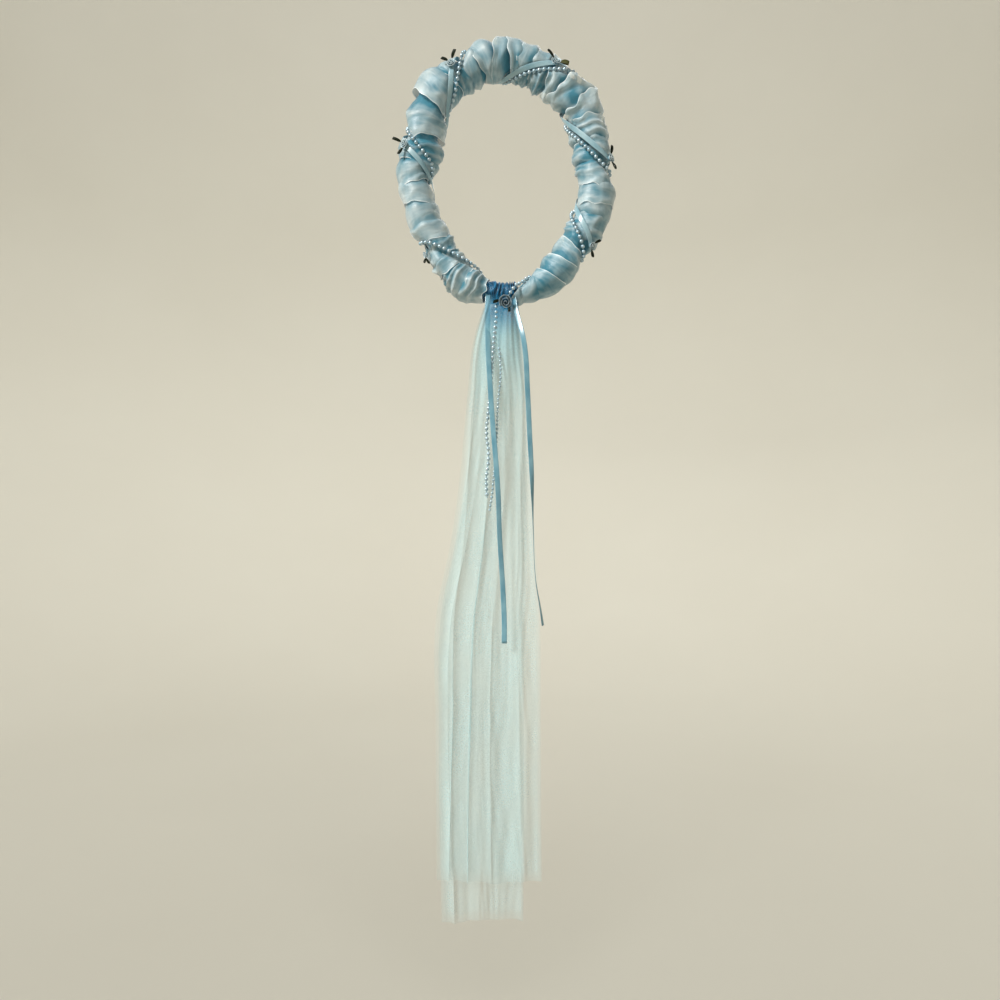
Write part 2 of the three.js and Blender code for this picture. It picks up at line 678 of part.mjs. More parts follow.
const crown = new THREE.Group();
crown.name = "flower_crown_with_veil";
crown.add(
  named("ring_core", coreGeometry(), cloth(COLOURS.core)),
  named("organza_wrap", organzaGeometry(), cloth(COLOURS.organza, 0.55)),
  named("satin_ribbon", woundRibbonGeometry(), cloth(COLOURS.ribbon, 0.35)),
  named("pearl_string", woundPearlsGeometry(), cloth(COLOURS.pearl, 0.3)),
  named("veil_header", headerGeometry(), cloth(COLOURS.header)),
  named("veil_front", veilLayerGeometry(FRONT_LAYER, -1), cloth(COLOURS.tulle, 0.8)),
  named("veil_back", veilLayerGeometry(BACK_LAYER, 1), cloth(COLOURS.tulle, 0.8)),
  named("ribbon_tail_left", ribbonTailGeometry(RIBBON_TAIL_LEFT), cloth(COLOURS.ribbon, 0.35)),
  named("ribbon_tail_right", ribbonTailGeometry(RIBBON_TAIL_RIGHT), cloth(COLOURS.ribbon, 0.35)),
  named(
    "pearl_tail_left",
    tubeGeometry(routePoints(PEARL_TAIL_LEFT), TAIL_STEPS.pearls),
    cloth(COLOURS.pearl, 0.3),
  ),
  named(
    "pearl_tail_right",
    tubeGeometry(routePoints(PEARL_TAIL_RIGHT), TAIL_STEPS.pearls),
    cloth(COLOURS.pearl, 0.3),
  ),
);
TURNS.forEach((_, index) => crown.add(roseWithLeaves(index)));

export default crown;
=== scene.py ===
"""Flower crown with veil: the looks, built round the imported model.

Sizes and places are in millimetres and degrees, as in the part's source, and become metres where a
mesh is made. A ring angle runs round the hoop from +X towards +Z. A turn runs round the hoop's own
section: 0 points out of the crown, 90 to the front, 180 into the opening and 270 to the back.
"""

import math

import bpy
import numpy as np
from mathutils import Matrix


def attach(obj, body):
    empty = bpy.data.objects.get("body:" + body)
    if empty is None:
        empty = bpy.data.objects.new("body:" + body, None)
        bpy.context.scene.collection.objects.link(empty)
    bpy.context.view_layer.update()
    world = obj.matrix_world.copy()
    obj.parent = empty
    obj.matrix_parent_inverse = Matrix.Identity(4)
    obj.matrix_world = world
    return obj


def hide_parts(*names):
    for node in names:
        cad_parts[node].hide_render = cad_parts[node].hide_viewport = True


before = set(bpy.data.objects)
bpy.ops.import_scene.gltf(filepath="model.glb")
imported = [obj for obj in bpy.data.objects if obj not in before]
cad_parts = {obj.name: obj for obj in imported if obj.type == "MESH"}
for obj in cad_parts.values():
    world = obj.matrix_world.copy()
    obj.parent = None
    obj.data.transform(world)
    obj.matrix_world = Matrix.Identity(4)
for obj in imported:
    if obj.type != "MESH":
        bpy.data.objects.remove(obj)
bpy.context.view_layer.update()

MM = 0.001

# Places and sizes, most of them as in the part's source

RING = {"half_width": 90.0, "top": 114.0, "bottom": 119.0, "centre_z": -90.0}
WRAP_BACK = 16.0

# Ring angle, and the organza's reach there from the hoop's centre line: out, in and to the front.
FOLDS = np.array([
    (-81, 11, 7, 11), (-72, 14, 13, 16), (-62, 16, 18, 19.5), (-51, 17, 21, 20),
    (-40, 17.5, 20.5, 19), (-29, 19.5, 20, 20), (-18, 21, 17.5, 20), (-7, 21.5, 17, 20),
    (4, 18, 22.5, 20), (15, 18, 23, 20), (25, 21, 21.5, 21.5), (35, 24.5, 20, 22),
    (46, 21.5, 22, 21.5), (57, 18, 24.5, 20), (67, 17.5, 25, 20), (77, 18.5, 23, 21),
    (88, 21, 22, 22), (99, 23.5, 22, 22), (109, 21, 21, 20.5), (119, 18.5, 20.5, 19.5),
    (129, 26, 20, 21.5), (140, 28, 17, 22), (151, 22.5, 23, 22), (161, 20.5, 28, 22),
    (172, 19.5, 27, 21), (183, 19, 19, 19), (195, 15.5, 18.5, 19), (207, 16, 22, 19),
    (219, 12, 22, 18), (231, 15, 20, 19.5), (243, 20, 18, 20.5), (256, 17, 16, 17),
])

# The winding's turns: ring angles where it crosses the crown's outer side, front and inner side, and
# how far round from the outer side a rose sits. The first turn's rose sits on the header instead.
TURNS = [
    (-90, -83, -67, None), (-44, -32.5, -18.5, 46), (-1, 7.5, 31, 44), (48, 60.5, 90, 70),
    (111, 123, 146, 70), (158.5, 170.5, 186, 60), (215, 221.5, 251, 32),
]
# The turns it starts and stops at, the ring angle where it would end, the degrees from its middle to
# the ribbon and the pearls, how much and how widely it pulls the organza in, and its least reach
WINDING = {
    "start": 58.0, "stop": 2445.0, "end": 270.0, "apart": 3.0, "pinch": 0.25, "outer_pinch": 0.25,
    "width": 8.0, "least": 6.5,
}
MM_PER_DEGREE = (RING["half_width"] + RING["top"]) / 2 * math.pi / 180

# Lift is from the organza to the middle of a wound ribbon, and sunk is how far a bead lies in it. The
# steps are those of the lines that a ribbon, its free ends and the pearls follow.
RIBBON = {"width": 5.0, "thickness": 0.5, "lift": 1.3, "step": 2.0, "tail_step": 3.0}
PEARL = {"diameter": 3.8, "pitch": 5.0, "thread": 0.9, "sunk": 0.3, "step": 2.5}
FINE_PEARL = {"diameter": 2.7, "pitch": 4.2, "thread": 0.7, "step": 2.5}

HEADER = {"start": 256.5, "stop": 278.5, "radius": 11.2, "pleats": 8}

# The veil's layers: drop below the top, and the left and right edges there.
VEIL_TOP_Z = -221.3
FRONT_LAYER = np.array([
    (0, -20, 13), (32, -30, 17), (95, -38, 25), (170, -45, 28),
    (235, -54, 29.5), (305, -68, 34), (420, -69, 35), (573, -68, 36),
])
BACK_LAYER = np.array([
    (0, -20, 12), (32, -26, 15), (95, -33, 20), (170, -40, 22), (235, -50, 22),
    (305, -64, 20), (420, -67, 19), (530, -66, 19), (618, -64, 18),
])

# Free ends: x, y, z, and for a ribbon the twist of its face from the front.
RIBBON_TAIL_LEFT = np.array([
    (-17.3, -9.5, -211, 0), (-17.5, -11.5, -219, 0), (-17.4, -14, -240, 5),
    (-17, -16.2, -265, 5), (-15, -18.4, -302, 0), (-12.6, -18.6, -338, -5),
    (-9.5, -18.6, -375, -5), (-7.3, -18.6, -405, 15), (-5.6, -18.2, -451, 20),
    (-2.4, -17.6, -503, 10), (-1.1, -17.2, -535, 0), (-1.1, -17, -555.5, 0),
])
RIBBON_TAIL_RIGHT = np.array([
    (8.6, -9.5, -213, -50), (9, -11.6, -220, -35), (10, -14, -227, -26),
    (12.4, -18, -237, -22), (15.4, -22.6, -249, -20), (17.6, -24.6, -259, -18),
    (19.4, -24, -272, -10), (21.4, -20.6, -304, 5), (23.7, -17.8, -350, 10),
    (25.7, -17, -387, 25), (26.7, -17, -420, 65), (27.4, -17.2, -446, 80),
    (30, -17.4, -496, 80), (34.4, -17.4, -522, 70), (36.7, -17.4, -538, 60),
])
PEARL_TAIL_LEFT = np.array([
    (-9.4, -12.8, -218.4), (-9.2, -14, -226), (-9.2, -14.2, -236), (-10.8, -14.4, -251),
    (-12.6, -14.6, -275), (-15.3, -15, -312), (-17.4, -15.2, -334), (-18.6, -15.2, -346),
    (-18, -15.2, -357), (-16.5, -15.2, -368), (-17, -15.2, -379), (-18.7, -15.2, -393),
    (-18.7, -15.2, -403), (-18, -15.2, -413),
])
PEARL_TAIL_RIGHT = np.array([
    (-2.6, -11.4, -227), (-4.4, -11.6, -240), (-6.5, -12, -262), (-4.9, -14, -280),
    (-4.9, -14.8, -297), (-6.5, -15, -311), (-7.7, -15.2, -327), (-8.3, -15.2, -347),
    (-9.8, -15.2, -372), (-11.8, -15.2, -396), (-14, -15.2, -416), (-15.6, -15.2, -425),
])

ROSE = {"radius": 4.6, "height": 3.8, "foot": 1.4, "turns": 2.8, "strip": 40.0, "cloth": 0.25}
ROSE_SIZES = [1.6, 1.0, 1.0, 1.0, 1.0, 1.0, 0.75]
BOTTOM_ROSE = {"at": -89.8, "turn": 60.0, "shift": (0.0, -2.0, -3.0)}
LEAF = {
    "length": 9.4, "width": 2.6, "thickness": 0.4, "seat": 3.2, "belly": 1.1, "droop": 1.3, "bend": 1.6,
}
# For each rose, its two leaves: the heading round the rose from the ring's direction, the rise, and
# how long and how wide it is beside a usual leaf. The widest one is olive.
LEAVES = [
    ((172, 35, 0.8, 1.0), (302, 64, 0.7, 0.9)), ((198, 35, 0.8, 1.0), (350, 40, 0.7, 0.8)),
    ((355, 30, 0.9, 1.0), (195, 35, 1.0, 0.9)), ((350, 35, 1.05, 0.75), (203, 30, 1.0, 1.9)),
    ((285, 30, 0.8, 1.0), (216, 35, 1.0, 1.1)), ((240, 30, 1.1, 1.1), (352, 30, 0.9, 0.9)),
    ((350, 14, 0.7, 0.8), (325, 35, 0.5, 0.7)),
]
OLIVE_WIDTH = 1.5

# What only the looks have

# How the ribbon and the pearls dive into the cloth where they go round to the back: how deep, the turn
# where that is deepest, the cosine of the way from there at which it begins, and how softly.
RIBBON_TUCK = {"depth": 6.5, "turn": -35.0, "begins": 0.35, "soft": 0.5}
PEARL_TUCK = {"depth": 9.0, "turn": -35.0, "begins": 0.25, "soft": 0.5}
# Stretches of the winding that run under the organza, by the turns they begin and end at. They go down
# to their depth, and come up again, over a slope of so many degrees of turn.
RIBBON_UNDER = [(-400, 230), (2120, 2900)]
PEARLS_UNDER = [(150, 330), (1740, 1870), (1940, 2100), (2330, 2900)]
UNDER = {"depth": 5.5, "slope": 60.0}

# The header's deep and small pleats, and how it closes in over a share of its length at both ends
HEADER_FOLDS = {"deep": 2.2, "small": 0.4, "end_share": 0.06, "end_drop": 3.5}
# How far above the header's radius the organza, the winding and the lowest rose lie
OVER_HEADER = {"organza": 1.8, "winding": 1.0, "rose": 1.2}

# The organza's panels, each a gathered sleeve that swells to a crest and ends in a free lip: ring
# angle of the crest, degrees back to the root and on to the lip (below 0 where it points the other
# way), the lip's tilt, dip, ruffle and flare, and the depth of its folds.
PANELS = [
    (-72, 9, -10.5, -8.0, 0.00, 0.4, 1.6, 0.5),
    (-66, 21, 5.5, 4.6, 0.00, 0.2, 0.3, 0.5), (-54, 14, 5, 2.5, 0.00, 0.3, 0.5, 0.6),
    (-45, 12, 5, -2.8, 0.00, 0.5, 1.6, 1.4), (-29, 13, 10, 1.5, 0.08, 0.6, 0.0, 2.4),
    (-19, 10, 9, -1.0, 0.06, 0.6, 0.0, 1.4), (-10, 14, -7, 1.9, 0.00, 0.8, 2.6, 1.4),
    (-1, 12, -7, -1.0, 0.04, 0.8, 1.0, 2.4), (9, 9, 9, 2.0, 0.10, 0.8, 0.2, 2.0),
    (19, 9, 8, -2.0, 0.06, 1.4, 1.6, 2.4), (30, 11, 6, 3.0, 0.00, 2.2, 4.6, 3.0),
    (42, 12, 6, -3.0, 0.00, 2.6, 5.4, 3.6), (55, 13, 5, 3.5, 0.00, 2.6, 5.0, 3.2),
    (64, 9, 10, 2.0, 0.10, 1.2, 0.4, 2.6),
    (74, 9, 8, -3.0, 0.06, 1.2, 1.6, 1.6), (82, 9, 6, 2.5, 0.00, 0.9, 2.0, 1.2),
    (92, 10, 6, -4.0, 0.00, 1.0, 2.2, 1.2), (102, 10, 8, 4.0, 0.06, 1.4, 1.6, 1.2),
    (111, 9, 8, -1.5, 0.10, 1.0, 0.8, 1.6), (120, 8, 8, 2.0, 0.10, 0.8, 0.0, 2.0),
    (134, 15, 11, -2.5, 0.02, 0.8, 1.6, 1.3), (153, 14, 11, 3.0, 0.02, 1.2, 2.4, 1.6),
    (167, 9, 9, -2.0, 0.06, 0.8, 0.8, 2.4), (178, 10, 8, 2.0, 0.06, 0.6, 0.4, 1.2),
    (189, 10, 7, -2.0, 0.03, 0.6, 0.7, 0.8), (199, 10, 9, 1.5, 0.08, 0.6, 0.2, 1.0),
    (209, 10, 7, -2.0, 0.03, 0.6, 0.6, 1.4), (219, 9, 9, 2.0, 0.10, 0.8, 0.2, 2.6),
    (229, 9, 6, -2.5, 0.04, 0.8, 0.8, 3.6), (238, 9, 8, 2.0, 0.08, 1.0, 0.4, 4.0),
    (247, 9, 10.5, 0.0, 0.16, 1.4, 0.8, 3.0),
]
# Panels whose middle gets more painted shade and is bluer, or paler below 0, by the ring angle of their
# crest
PANEL_SHADE = {
    -72: 0.15, -66: 0.2, -54: 0.2, -45: 0.1, 19: -0.1, 30: -0.2, 42: -0.2, 55: -0.15, 74: 0.1,
    82: 0.12, 92: 0.1, 167: 0.3, 178: 0.1, 189: -0.15, 199: -0.15, 209: -0.15, 238: -0.12, 247: -0.15,
}
# The grid of a panel, its dips, its hem, the stretch where the first one covers the header's end, and
# the radius that gives its places on the cloth
PANEL = {
    "steps": 28, "front_steps": 66, "back_steps": 30, "root_dip": 0.40, "outer_dip": 0.08, "hem": 0.7,
    "cover": 4.0, "cloth_radius": 18.0,
}
# The inner layers: their share of the organza's reach, the depth of their pleats as such a share, and
# the radius they close to over the last degrees
LINING = {
    "start": -84.0, "stop": 257.0, "level": 0.66, "pleats": 0.035, "steps": 180, "around": 36,
    "end": 5.0, "end_degrees": 7.0, "cloth_radius": 14.0,
}

# The nets: the grid, the part inside the header, the gathers, laps and crumples, the gap between the
# two, how far the front one swings over the header, and how soon they thin out at hem and edges
VEIL = {
    "across": 300, "down": 112, "rise": 12.0, "opens_by": 190.0, "gathers": 5, "gather_depth": 0.3,
    "lap_depth": 2.2, "apart": 6.2, "forward": 9.0, "crumple": 0.4, "flat_edge": 0.12, "soft_hem": 14.0,
    "soft_left": 0.07, "soft_right": 0.05,
}
VEIL_FLAT_WIDTH = {"veil_front": 0.120, "veil_back": 0.100}

# The photograph's frame, at the plane of the hoop
PICTURE = {"width": 1000.0, "centre_x": -5.3, "centre_z": -415.0}
LENS = {"length": 30.0, "sensor": 36.0}

# The paper sweep in metres: its floor's height and flat radius, the radius of its bend and its wall
STAGE = {"floor": -0.960, "flat": 1.4, "bend": 1.8, "wall": 3.4}

# The lights in metres, with a sun's spread in degrees
AIM = (0.0, 0.0, -0.3)
KEY = {"place": (-1.6, -1.5, 1.6), "power": 4.1, "spread": 16.0, "tint": (1.0, 0.98, 0.95)}
WASH = {"place": (0.0, -1.0, 0.8), "power": 1.9, "spread": 60.0, "tint": (1.0, 1.0, 0.98)}
FILL = {"place": (1.7, -1.7, -0.1), "size": 1.2, "power": 3.0, "tint": (0.93, 0.97, 1.0)}
RIM = {"place": (0.5, 1.6, 1.2), "size": 1.4, "power": 10.0, "tint": (1.0, 0.99, 0.96)}
SKY = {"power": 0.31, "tint": (0.97, 0.98, 1.0, 1.0)}

dice = np.random.default_rng(11)


# Small helpers


def hermite(a, b, slope_a, slope_b, t):
    """A smooth step from a to b with the given slopes, at a share t of the way."""
    rise = t * t * (3 - 2 * t)
    return a + (b - a) * rise + slope_a * t * (1 - t) ** 2 + slope_b * t * t * (t - 1)


def curve_through(xs, ys, at):
    """A smooth curve through points with rising xs. ys may have columns."""
    xs, ys = np.asarray(xs, float), np.asarray(ys, float)
    at = np.clip(at, xs[0], xs[-1])
    i = np.clip(np.searchsorted(xs, at) - 1, 0, len(xs) - 2)
    slopes = np.gradient(ys, xs, axis=0)
    span = xs[i + 1] - xs[i]
    t = (at - xs[i]) / span
    if ys.ndim > 1:
        span, t = span[..., None], t[..., None]
    return hermite(ys[i], ys[i + 1], slopes[i] * span, slopes[i + 1] * span, t)


def unit(vectors):
    return vectors / np.linalg.norm(vectors, axis=-1, keepdims=True)


def lengths_along(points):
    """The distance along a line of points, from its first."""
    return np.concatenate([[0], np.cumsum(np.linalg.norm(np.diff(points, axis=0), axis=1))])


def smooth_line(route, spacing):
    """Even points on a smooth curve through a route's rows, with all of its columns."""
    rough = lengths_along(route[:, :3])
    fine = curve_through(rough, route, np.linspace(0, rough[-1], 40 * len(route)))
    true = lengths_along(fine[:, :3])
    steps = max(2, round(true[-1] / spacing))
    even = np.linspace(0, true[-1], steps + 1)
    return np.stack([np.interp(even, true, column) for column in fine.T], axis=1)


def ridge(angle):
    """Sharp crests and round hollows, from -0.5 to 0.5."""
    return 0.5 - np.abs(np.sin(angle / 2))


def ease(share):
    share = np.clip(share, 0, 1)
    return share * share * (3 - 2 * share)


# The hoop's centre line, the winding and the organza's reach

FRONT = np.array([0.0, -1.0, 0.0])


def ring_frame(degrees):
    """Centre, direction along the ring and direction out of the crown, at ring angles."""
    angle = np.radians(degrees)
    height = np.where(np.sin(angle) >= 0, RING["top"], RING["bottom"])
    zero = np.zeros_like(angle)
    x, z = RING["half_width"] * np.cos(angle), height * np.sin(angle)
    centre = np.stack([x, zero, RING["centre_z"] + z], axis=-1)
    along = unit(np.stack([-RING["half_width"] * np.sin(angle), zero, height * np.cos(angle)], axis=-1))
    out = np.stack([along[..., 2], zero, -along[..., 0]], axis=-1)
    return centre, along, out


def ring_away(degrees, turn):
    turn = np.radians(turn)[..., None]
    return ring_frame(degrees)[2] * np.cos(turn) + FRONT * np.sin(turn)


def ring_point(degrees, turn, reach):
    degrees, turn, reach = np.broadcast_arrays(np.asarray(degrees, float), turn, reach)
    return ring_frame(degrees)[0] + ring_away(degrees, turn) * reach[..., None]


def winding_angle(turn):
    """The winding's ring angle, by its turn counted on from the first."""
    crossings = [360 * k + step for k in range(len(TURNS)) for step in (0, 90, 180)]
    turns = np.append(crossings, 360 * len(TURNS))
    angles = np.append([angle for row in TURNS for angle in row[:3]], WINDING["end"])
    return curve_through(turns, angles, np.asarray(turn, float))


def pinch_at(degrees, turn):
    """How far the winding pulls the organza in, from 0 to 1."""
    turn = np.mod(turn, 360)
    most = np.zeros(np.broadcast(degrees, turn).shape)
    for k in range(len(TURNS)):
        off = (degrees - winding_angle(turn + 360 * k)) * MM_PER_DEGREE
        most = np.maximum(most, np.exp(-((off / WINDING["width"]) ** 2)))
    return most


def wrap_reach(degrees, turn):
    """The organza's outer surface, without its small folds."""
    out, inward, front = (curve_through(FOLDS[:, 0], FOLDS[:, k], degrees) for k in (1, 2, 3))
    cos, sin = np.cos(np.radians(turn)), np.sin(np.radians(turn))
    side = np.where(cos >= 0, out, inward)
    depth = np.where(sin >= 0, front, np.minimum(front, WRAP_BACK))
    pinch = WINDING["pinch"] + WINDING["outer_pinch"] * np.maximum(cos, 0)
    return (1 - pinch * pinch_at(degrees, turn)) / np.hypot(cos / side, sin / depth)


# Making meshes


def grid_faces(rows, columns, first=0):
    """Four-sided faces of a grid of points, row by row."""
    corner = first + np.arange(rows - 1)[:, None] * columns + np.arange(columns - 1)[None, :]
    corner = corner.ravel()
    return np.stack([corner, corner + 1, corner + columns + 1, corner + columns], axis=1)


def tube_faces(rings, sides, first=0):
    """Four-sided faces round a tube of rings of points."""
    i, j = np.meshgrid(np.arange(rings - 1), np.arange(sides), indexing="ij")
    a, b = first + i * sides + j, first + i * sides + (j + 1) % sides
    return np.stack([a, b, b + sides, a + sides], axis=-1).reshape(-1, 4)


def add_piece(name, points, faces, materials, uv=None, face_material=None, fold=None):
    """A piece of the object from points in millimetres, which rides on the only body.

    A point's fold is for the material, which on cloth and roses paints shade and highlight with it. It
    runs from 0 in the hollow of a fold to 1 on its crest, or on a net, where it only thins the threads,
    from 0 at its hem and edges to 1 inside.
    """
    mesh = bpy.data.meshes.new(name)
    mesh.from_pydata((np.asarray(points, float) * MM).tolist(), [], [list(map(int, f)) for f in faces])
    mesh.polygons.foreach_set("use_smooth", np.ones(len(mesh.polygons), bool))
    for material in materials:
        mesh.materials.append(material)
    if face_material is not None:
        mesh.polygons.foreach_set("material_index", np.asarray(face_material, np.int32))
    if uv is not None:
        corner = np.empty(len(mesh.loops), np.int32)
        mesh.loops.foreach_get("vertex_index", corner)
        layer = mesh.uv_layers.new(name="cloth")
        layer.data.foreach_set("uv", (np.asarray(uv, float)[corner] * MM).astype(np.float32).ravel())
    if fold is not None:
        values = mesh.attributes.new("fold", "FLOAT", "POINT").data
        values.foreach_set("value", np.asarray(fold, np.float32))
    mesh.update()
    piece = bpy.data.objects.new(name, mesh)
    bpy.context.scene.collection.objects.link(piece)
    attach(piece, "root")
    return piece


def strip_mesh(centres, across, away, width, thickness):
    """A flat ribbon with soft edges along a line of points: its points, faces and cloth places."""
    angle = np.linspace(0, 2 * math.pi, 12, endpoint=False)
    flat = np.sign(np.cos(angle)) * np.abs(np.cos(angle)) ** 0.5 * width / 2
    high = np.sin(angle) * thickness / 2
    rings = centres[:, None] + across[:, None] * flat[:, None] + away[:, None] * high[:, None]
    faces = tube_faces(len(centres), len(angle)).tolist()
    last = (len(centres) - 1) * len(angle)
    faces.append(list(range(len(angle)))[::-1])
    faces.append([last + k for k in range(len(angle))])
    run = np.broadcast_to(lengths_along(centres)[:, None], rings.shape[:2])
    uv = np.stack([np.broadcast_to(flat, rings.shape[:2]), run], axis=-1)
    return rings.reshape(-1, 3), faces, uv.reshape(-1, 2)


# Materials


class Shader:
    """A procedural material, built up round one Principled shader."""

    def __init__(self, name, **values):
        self.material = bpy.data.materials.new(name)
        self.material.use_nodes = True
        self.nodes, self.links = self.material.node_tree.nodes, self.material.node_tree.links
        self.surface = self.nodes["Principled BSDF"]
        for key, value in values.items():
            self.surface.inputs[key.replace("_", " ")].default_value = value

    def add(self, kind, settings=(), output=0, **inputs):
        """A new node's output. Inputs go by name, or by number as i0, i1 and so on."""
        node = self.nodes.new(kind)
        for key, value in dict(settings).items():
            setattr(node, key, value)
        for key, value in inputs.items():
            numbered = key[1:].isdigit()
            socket = node.inputs[int(key[1:]) if numbered else key.replace("_", " ")]
            if isinstance(value, bpy.types.NodeSocket):
                self.links.new(value, socket)
            else:
                socket.default_value = value
        return node.outputs[output]

    def cloth_place(self, across=1.0, down=1.0):
        """Places on the cloth in metres, stretched by the given factors."""
        place = self.nodes.new("ShaderNodeTexCoord").outputs["UV"]
        return self.add("ShaderNodeMapping", Vector=place, Scale=(across, down, 1.0))

    def fold(self):
        return self.add("ShaderNodeAttribute", {"attribute_name": "fold"}, output="Fac")

    def solid_place(self):
        return self.nodes.new("ShaderNodeTexCoord").outputs["Object"]

    def noise(self, place, scale, detail=3.0):
        return self.add("ShaderNodeTexNoise", Vector=place, Scale=scale, Detail=detail)

    def maths(self, operation, a, b=0.0):
        return self.add("ShaderNodeMath", {"operation": operation}, i0=a, i1=b)

    def spread(self, value, low, high, new_low, new_high):
        """A value's range from low to high, moved to a new range."""
        names = ("From_Min", "From_Max", "To_Min", "To_Max")
        limits = dict(zip(names, (low, high, new_low, new_high)))
        return self.add("ShaderNodeMapRange", Value=value, **limits)

    def blend(self, share, first, second):
        node = self.nodes.new("ShaderNodeMix")
        node.data_type = "RGBA"
        for key, value in (("A", first), ("B", second), ("Factor", share)):
            socket = [s for s in node.inputs if s.name == key and s.enabled][0]
            if isinstance(value, bpy.types.NodeSocket):
                self.links.new(value, socket)
            else:
                socket.default_value = value
        return [s for s in node.outputs if s.enabled][0]

    def bump(self, height, strength, distance):
        normal = self.add("ShaderNodeBump", Height=height, Strength=strength, Distance=distance)
        self.links.new(normal, self.surface.inputs["Normal"])

    def feed(self, **sockets):
        for key, value in sockets.items():
            self.links.new(value, self.surface.inputs[key.replace("_", " ")])

    def weave(self, threads_per_metre):
        """Crossed threads on the cloth, from 0 to 1."""
        turns = 2 * math.pi * threads_per_metre
        place = self.nodes.new("ShaderNodeSeparateXYZ")
        self.links.new(self.cloth_place(turns, turns), place.inputs[0])
        warp = self.maths("SINE", place.outputs[0])
        weft = self.maths("SINE", place.outputs[1])
        return self.spread(self.maths("MULTIPLY", warp, weft), -1.0, 1.0, 0.0, 1.0)


def paint(code):
    """A colour from its screen code, as linear values."""
    parts = [int(code[k:k + 2], 16) / 255 for k in (1, 3, 5)]
    linear = [p / 12.92 if p <= 0.04045 else ((p + 0.055) / 1.055) ** 2.4 for p in parts]
    return (*linear, 1.0)


def organza_material(name, pale, deep, thin, dense):
    """Sheer cloth, coloured by its fold tone: pale on the crests of its folds and creases as painted
    highlight, bluer and closer in their hollows as painted shade, with some of that blue the depth of
    stacked sheer layers.
    """
    shader = Shader(name, Roughness=0.34, Sheen_Weight=0.6, Sheen_Roughness=0.3)
    shader.surface.inputs["Specular IOR Level"].default_value = 0.45
    ridges = {"noise_type": "RIDGED_MULTIFRACTAL"}
    creases = shader.add(
        "ShaderNodeTexNoise", ridges, Vector=shader.cloth_place(0.3, 1.0), Scale=110.0, Detail=3.0,
        Offset=1.0, Gain=1.5, Distortion=0.5)
    creases = shader.spread(creases, 0.5, 2.2, -0.14, 0.24)
    wash = shader.spread(shader.noise(shader.cloth_place(), 45.0, 2.0), 0.3, 0.7, -0.25, 0.25)
    # Colour rises with the fold tone and the creases' ridges: painted highlight on crests and ridges,
    # painted shade in the hollows, with a random wash of tone.
    crest = shader.maths("ADD", shader.maths("ADD", shader.fold(), creases), wash)
    shader.feed(Base_Color=shader.blend(shader.spread(crest, 0.1, 0.95, 0.0, 1.0), deep, pale))
    streaks = shader.spread(shader.noise(shader.cloth_place(3.0, 1.0), 60.0, 2.0), 0.3, 0.7, -0.05, 0.05)
    shader.feed(Alpha=shader.maths("ADD", shader.spread(shader.fold(), 0.0, 1.0, dense, thin), streaks))
    weave = shader.maths("MULTIPLY", shader.weave(1400.0), 0.04)
    shader.bump(shader.maths("ADD", creases, weave), 0.6, 0.0018)
    return shader.material


def satin_material(name, pale, deep, roughness, shine=0.6, shade_by_fold=False):
    """Close, glossy ribbon with a fine rib across it, pale in soft random patches, or pale and dark by
    its fold tone as painted highlight and shade.
    """
    shader = Shader(
        name, Roughness=roughness, Sheen_Weight=0.4 * shine, Sheen_Roughness=0.3, Anisotropic=0.45)
    shader.surface.inputs["Specular IOR Level"].default_value = shine
    patches = shader.spread(shader.noise(shader.cloth_place(1.0, 0.4), 140.0), 0.3, 0.7, 0.0, 1.0)
    shader.feed(Base_Color=shader.blend(shader.fold() if shade_by_fold else patches, deep, pale))
    shader.bump(shader.weave(2200.0), 0.06, 0.0001)
    return shader.material


def tulle_material(name, top, upper, middle, hem):
    """Soft net: a fine mesh of threads, bluest and closest where it leaves the header, with a painted
    highlight along its left edge.
    """
    shader = Shader(name, Roughness=0.75, Sheen_Weight=0.3, Sheen_Roughness=0.5)
    shader.surface.inputs["Specular IOR Level"].default_value = 0.2
    place = shader.nodes.new("ShaderNodeSeparateXYZ")
    shader.links.new(shader.cloth_place(), place.inputs[0])
    down = place.outputs[1]
    low = shader.blend(shader.spread(down, 0.10, 0.32, 0.0, 1.0), middle, hem)
    high = shader.blend(shader.spread(down, 0.018, 0.044, 0.0, 1.0), top, upper)
    # A painted highlight: paler over the first 30 mm from the left edge, the side the key light comes
    # from.
    edge = shader.spread(place.outputs[0], 0.0, 0.03, 0.7, 0.0)
    paler = shader.maths("ADD", shader.spread(down, 0.030, 0.085, 0.0, 1.0), edge)
    shader.feed(Base_Color=shader.blend(paler, high, low))
    cells = shader.nodes.new("ShaderNodeTexVoronoi")
    cells.feature = "DISTANCE_TO_EDGE"
    cells.inputs["Scale"].default_value = 700.0
    cells.inputs["Randomness"].default_value = 0.6
    shader.links.new(shader.cloth_place(), cells.inputs["Vector"])
    net = shader.spread(cells.outputs[0], 0.05, 0.22, 0.34, 0.25)
    close = shader.spread(down, 0.005, 0.125, 2.3, 1.0)
    begins = shader.spread(down, 0.002, 0.014, 0.0, 1.0)
    crumple = shader.spread(shader.noise(shader.cloth_place(1.0, 0.4), 32.0), 0.3, 0.7, 0.78, 1.22)
    threads = shader.maths("MULTIPLY", shader.maths("MULTIPLY", net, close), crumple)
    ends = shader.maths("MULTIPLY", begins, shader.spread(shader.fold(), 0.0, 1.0, 0.45, 1.0))
    shader.feed(Alpha=shader.maths("MULTIPLY", threads, ends))
    return shader.material


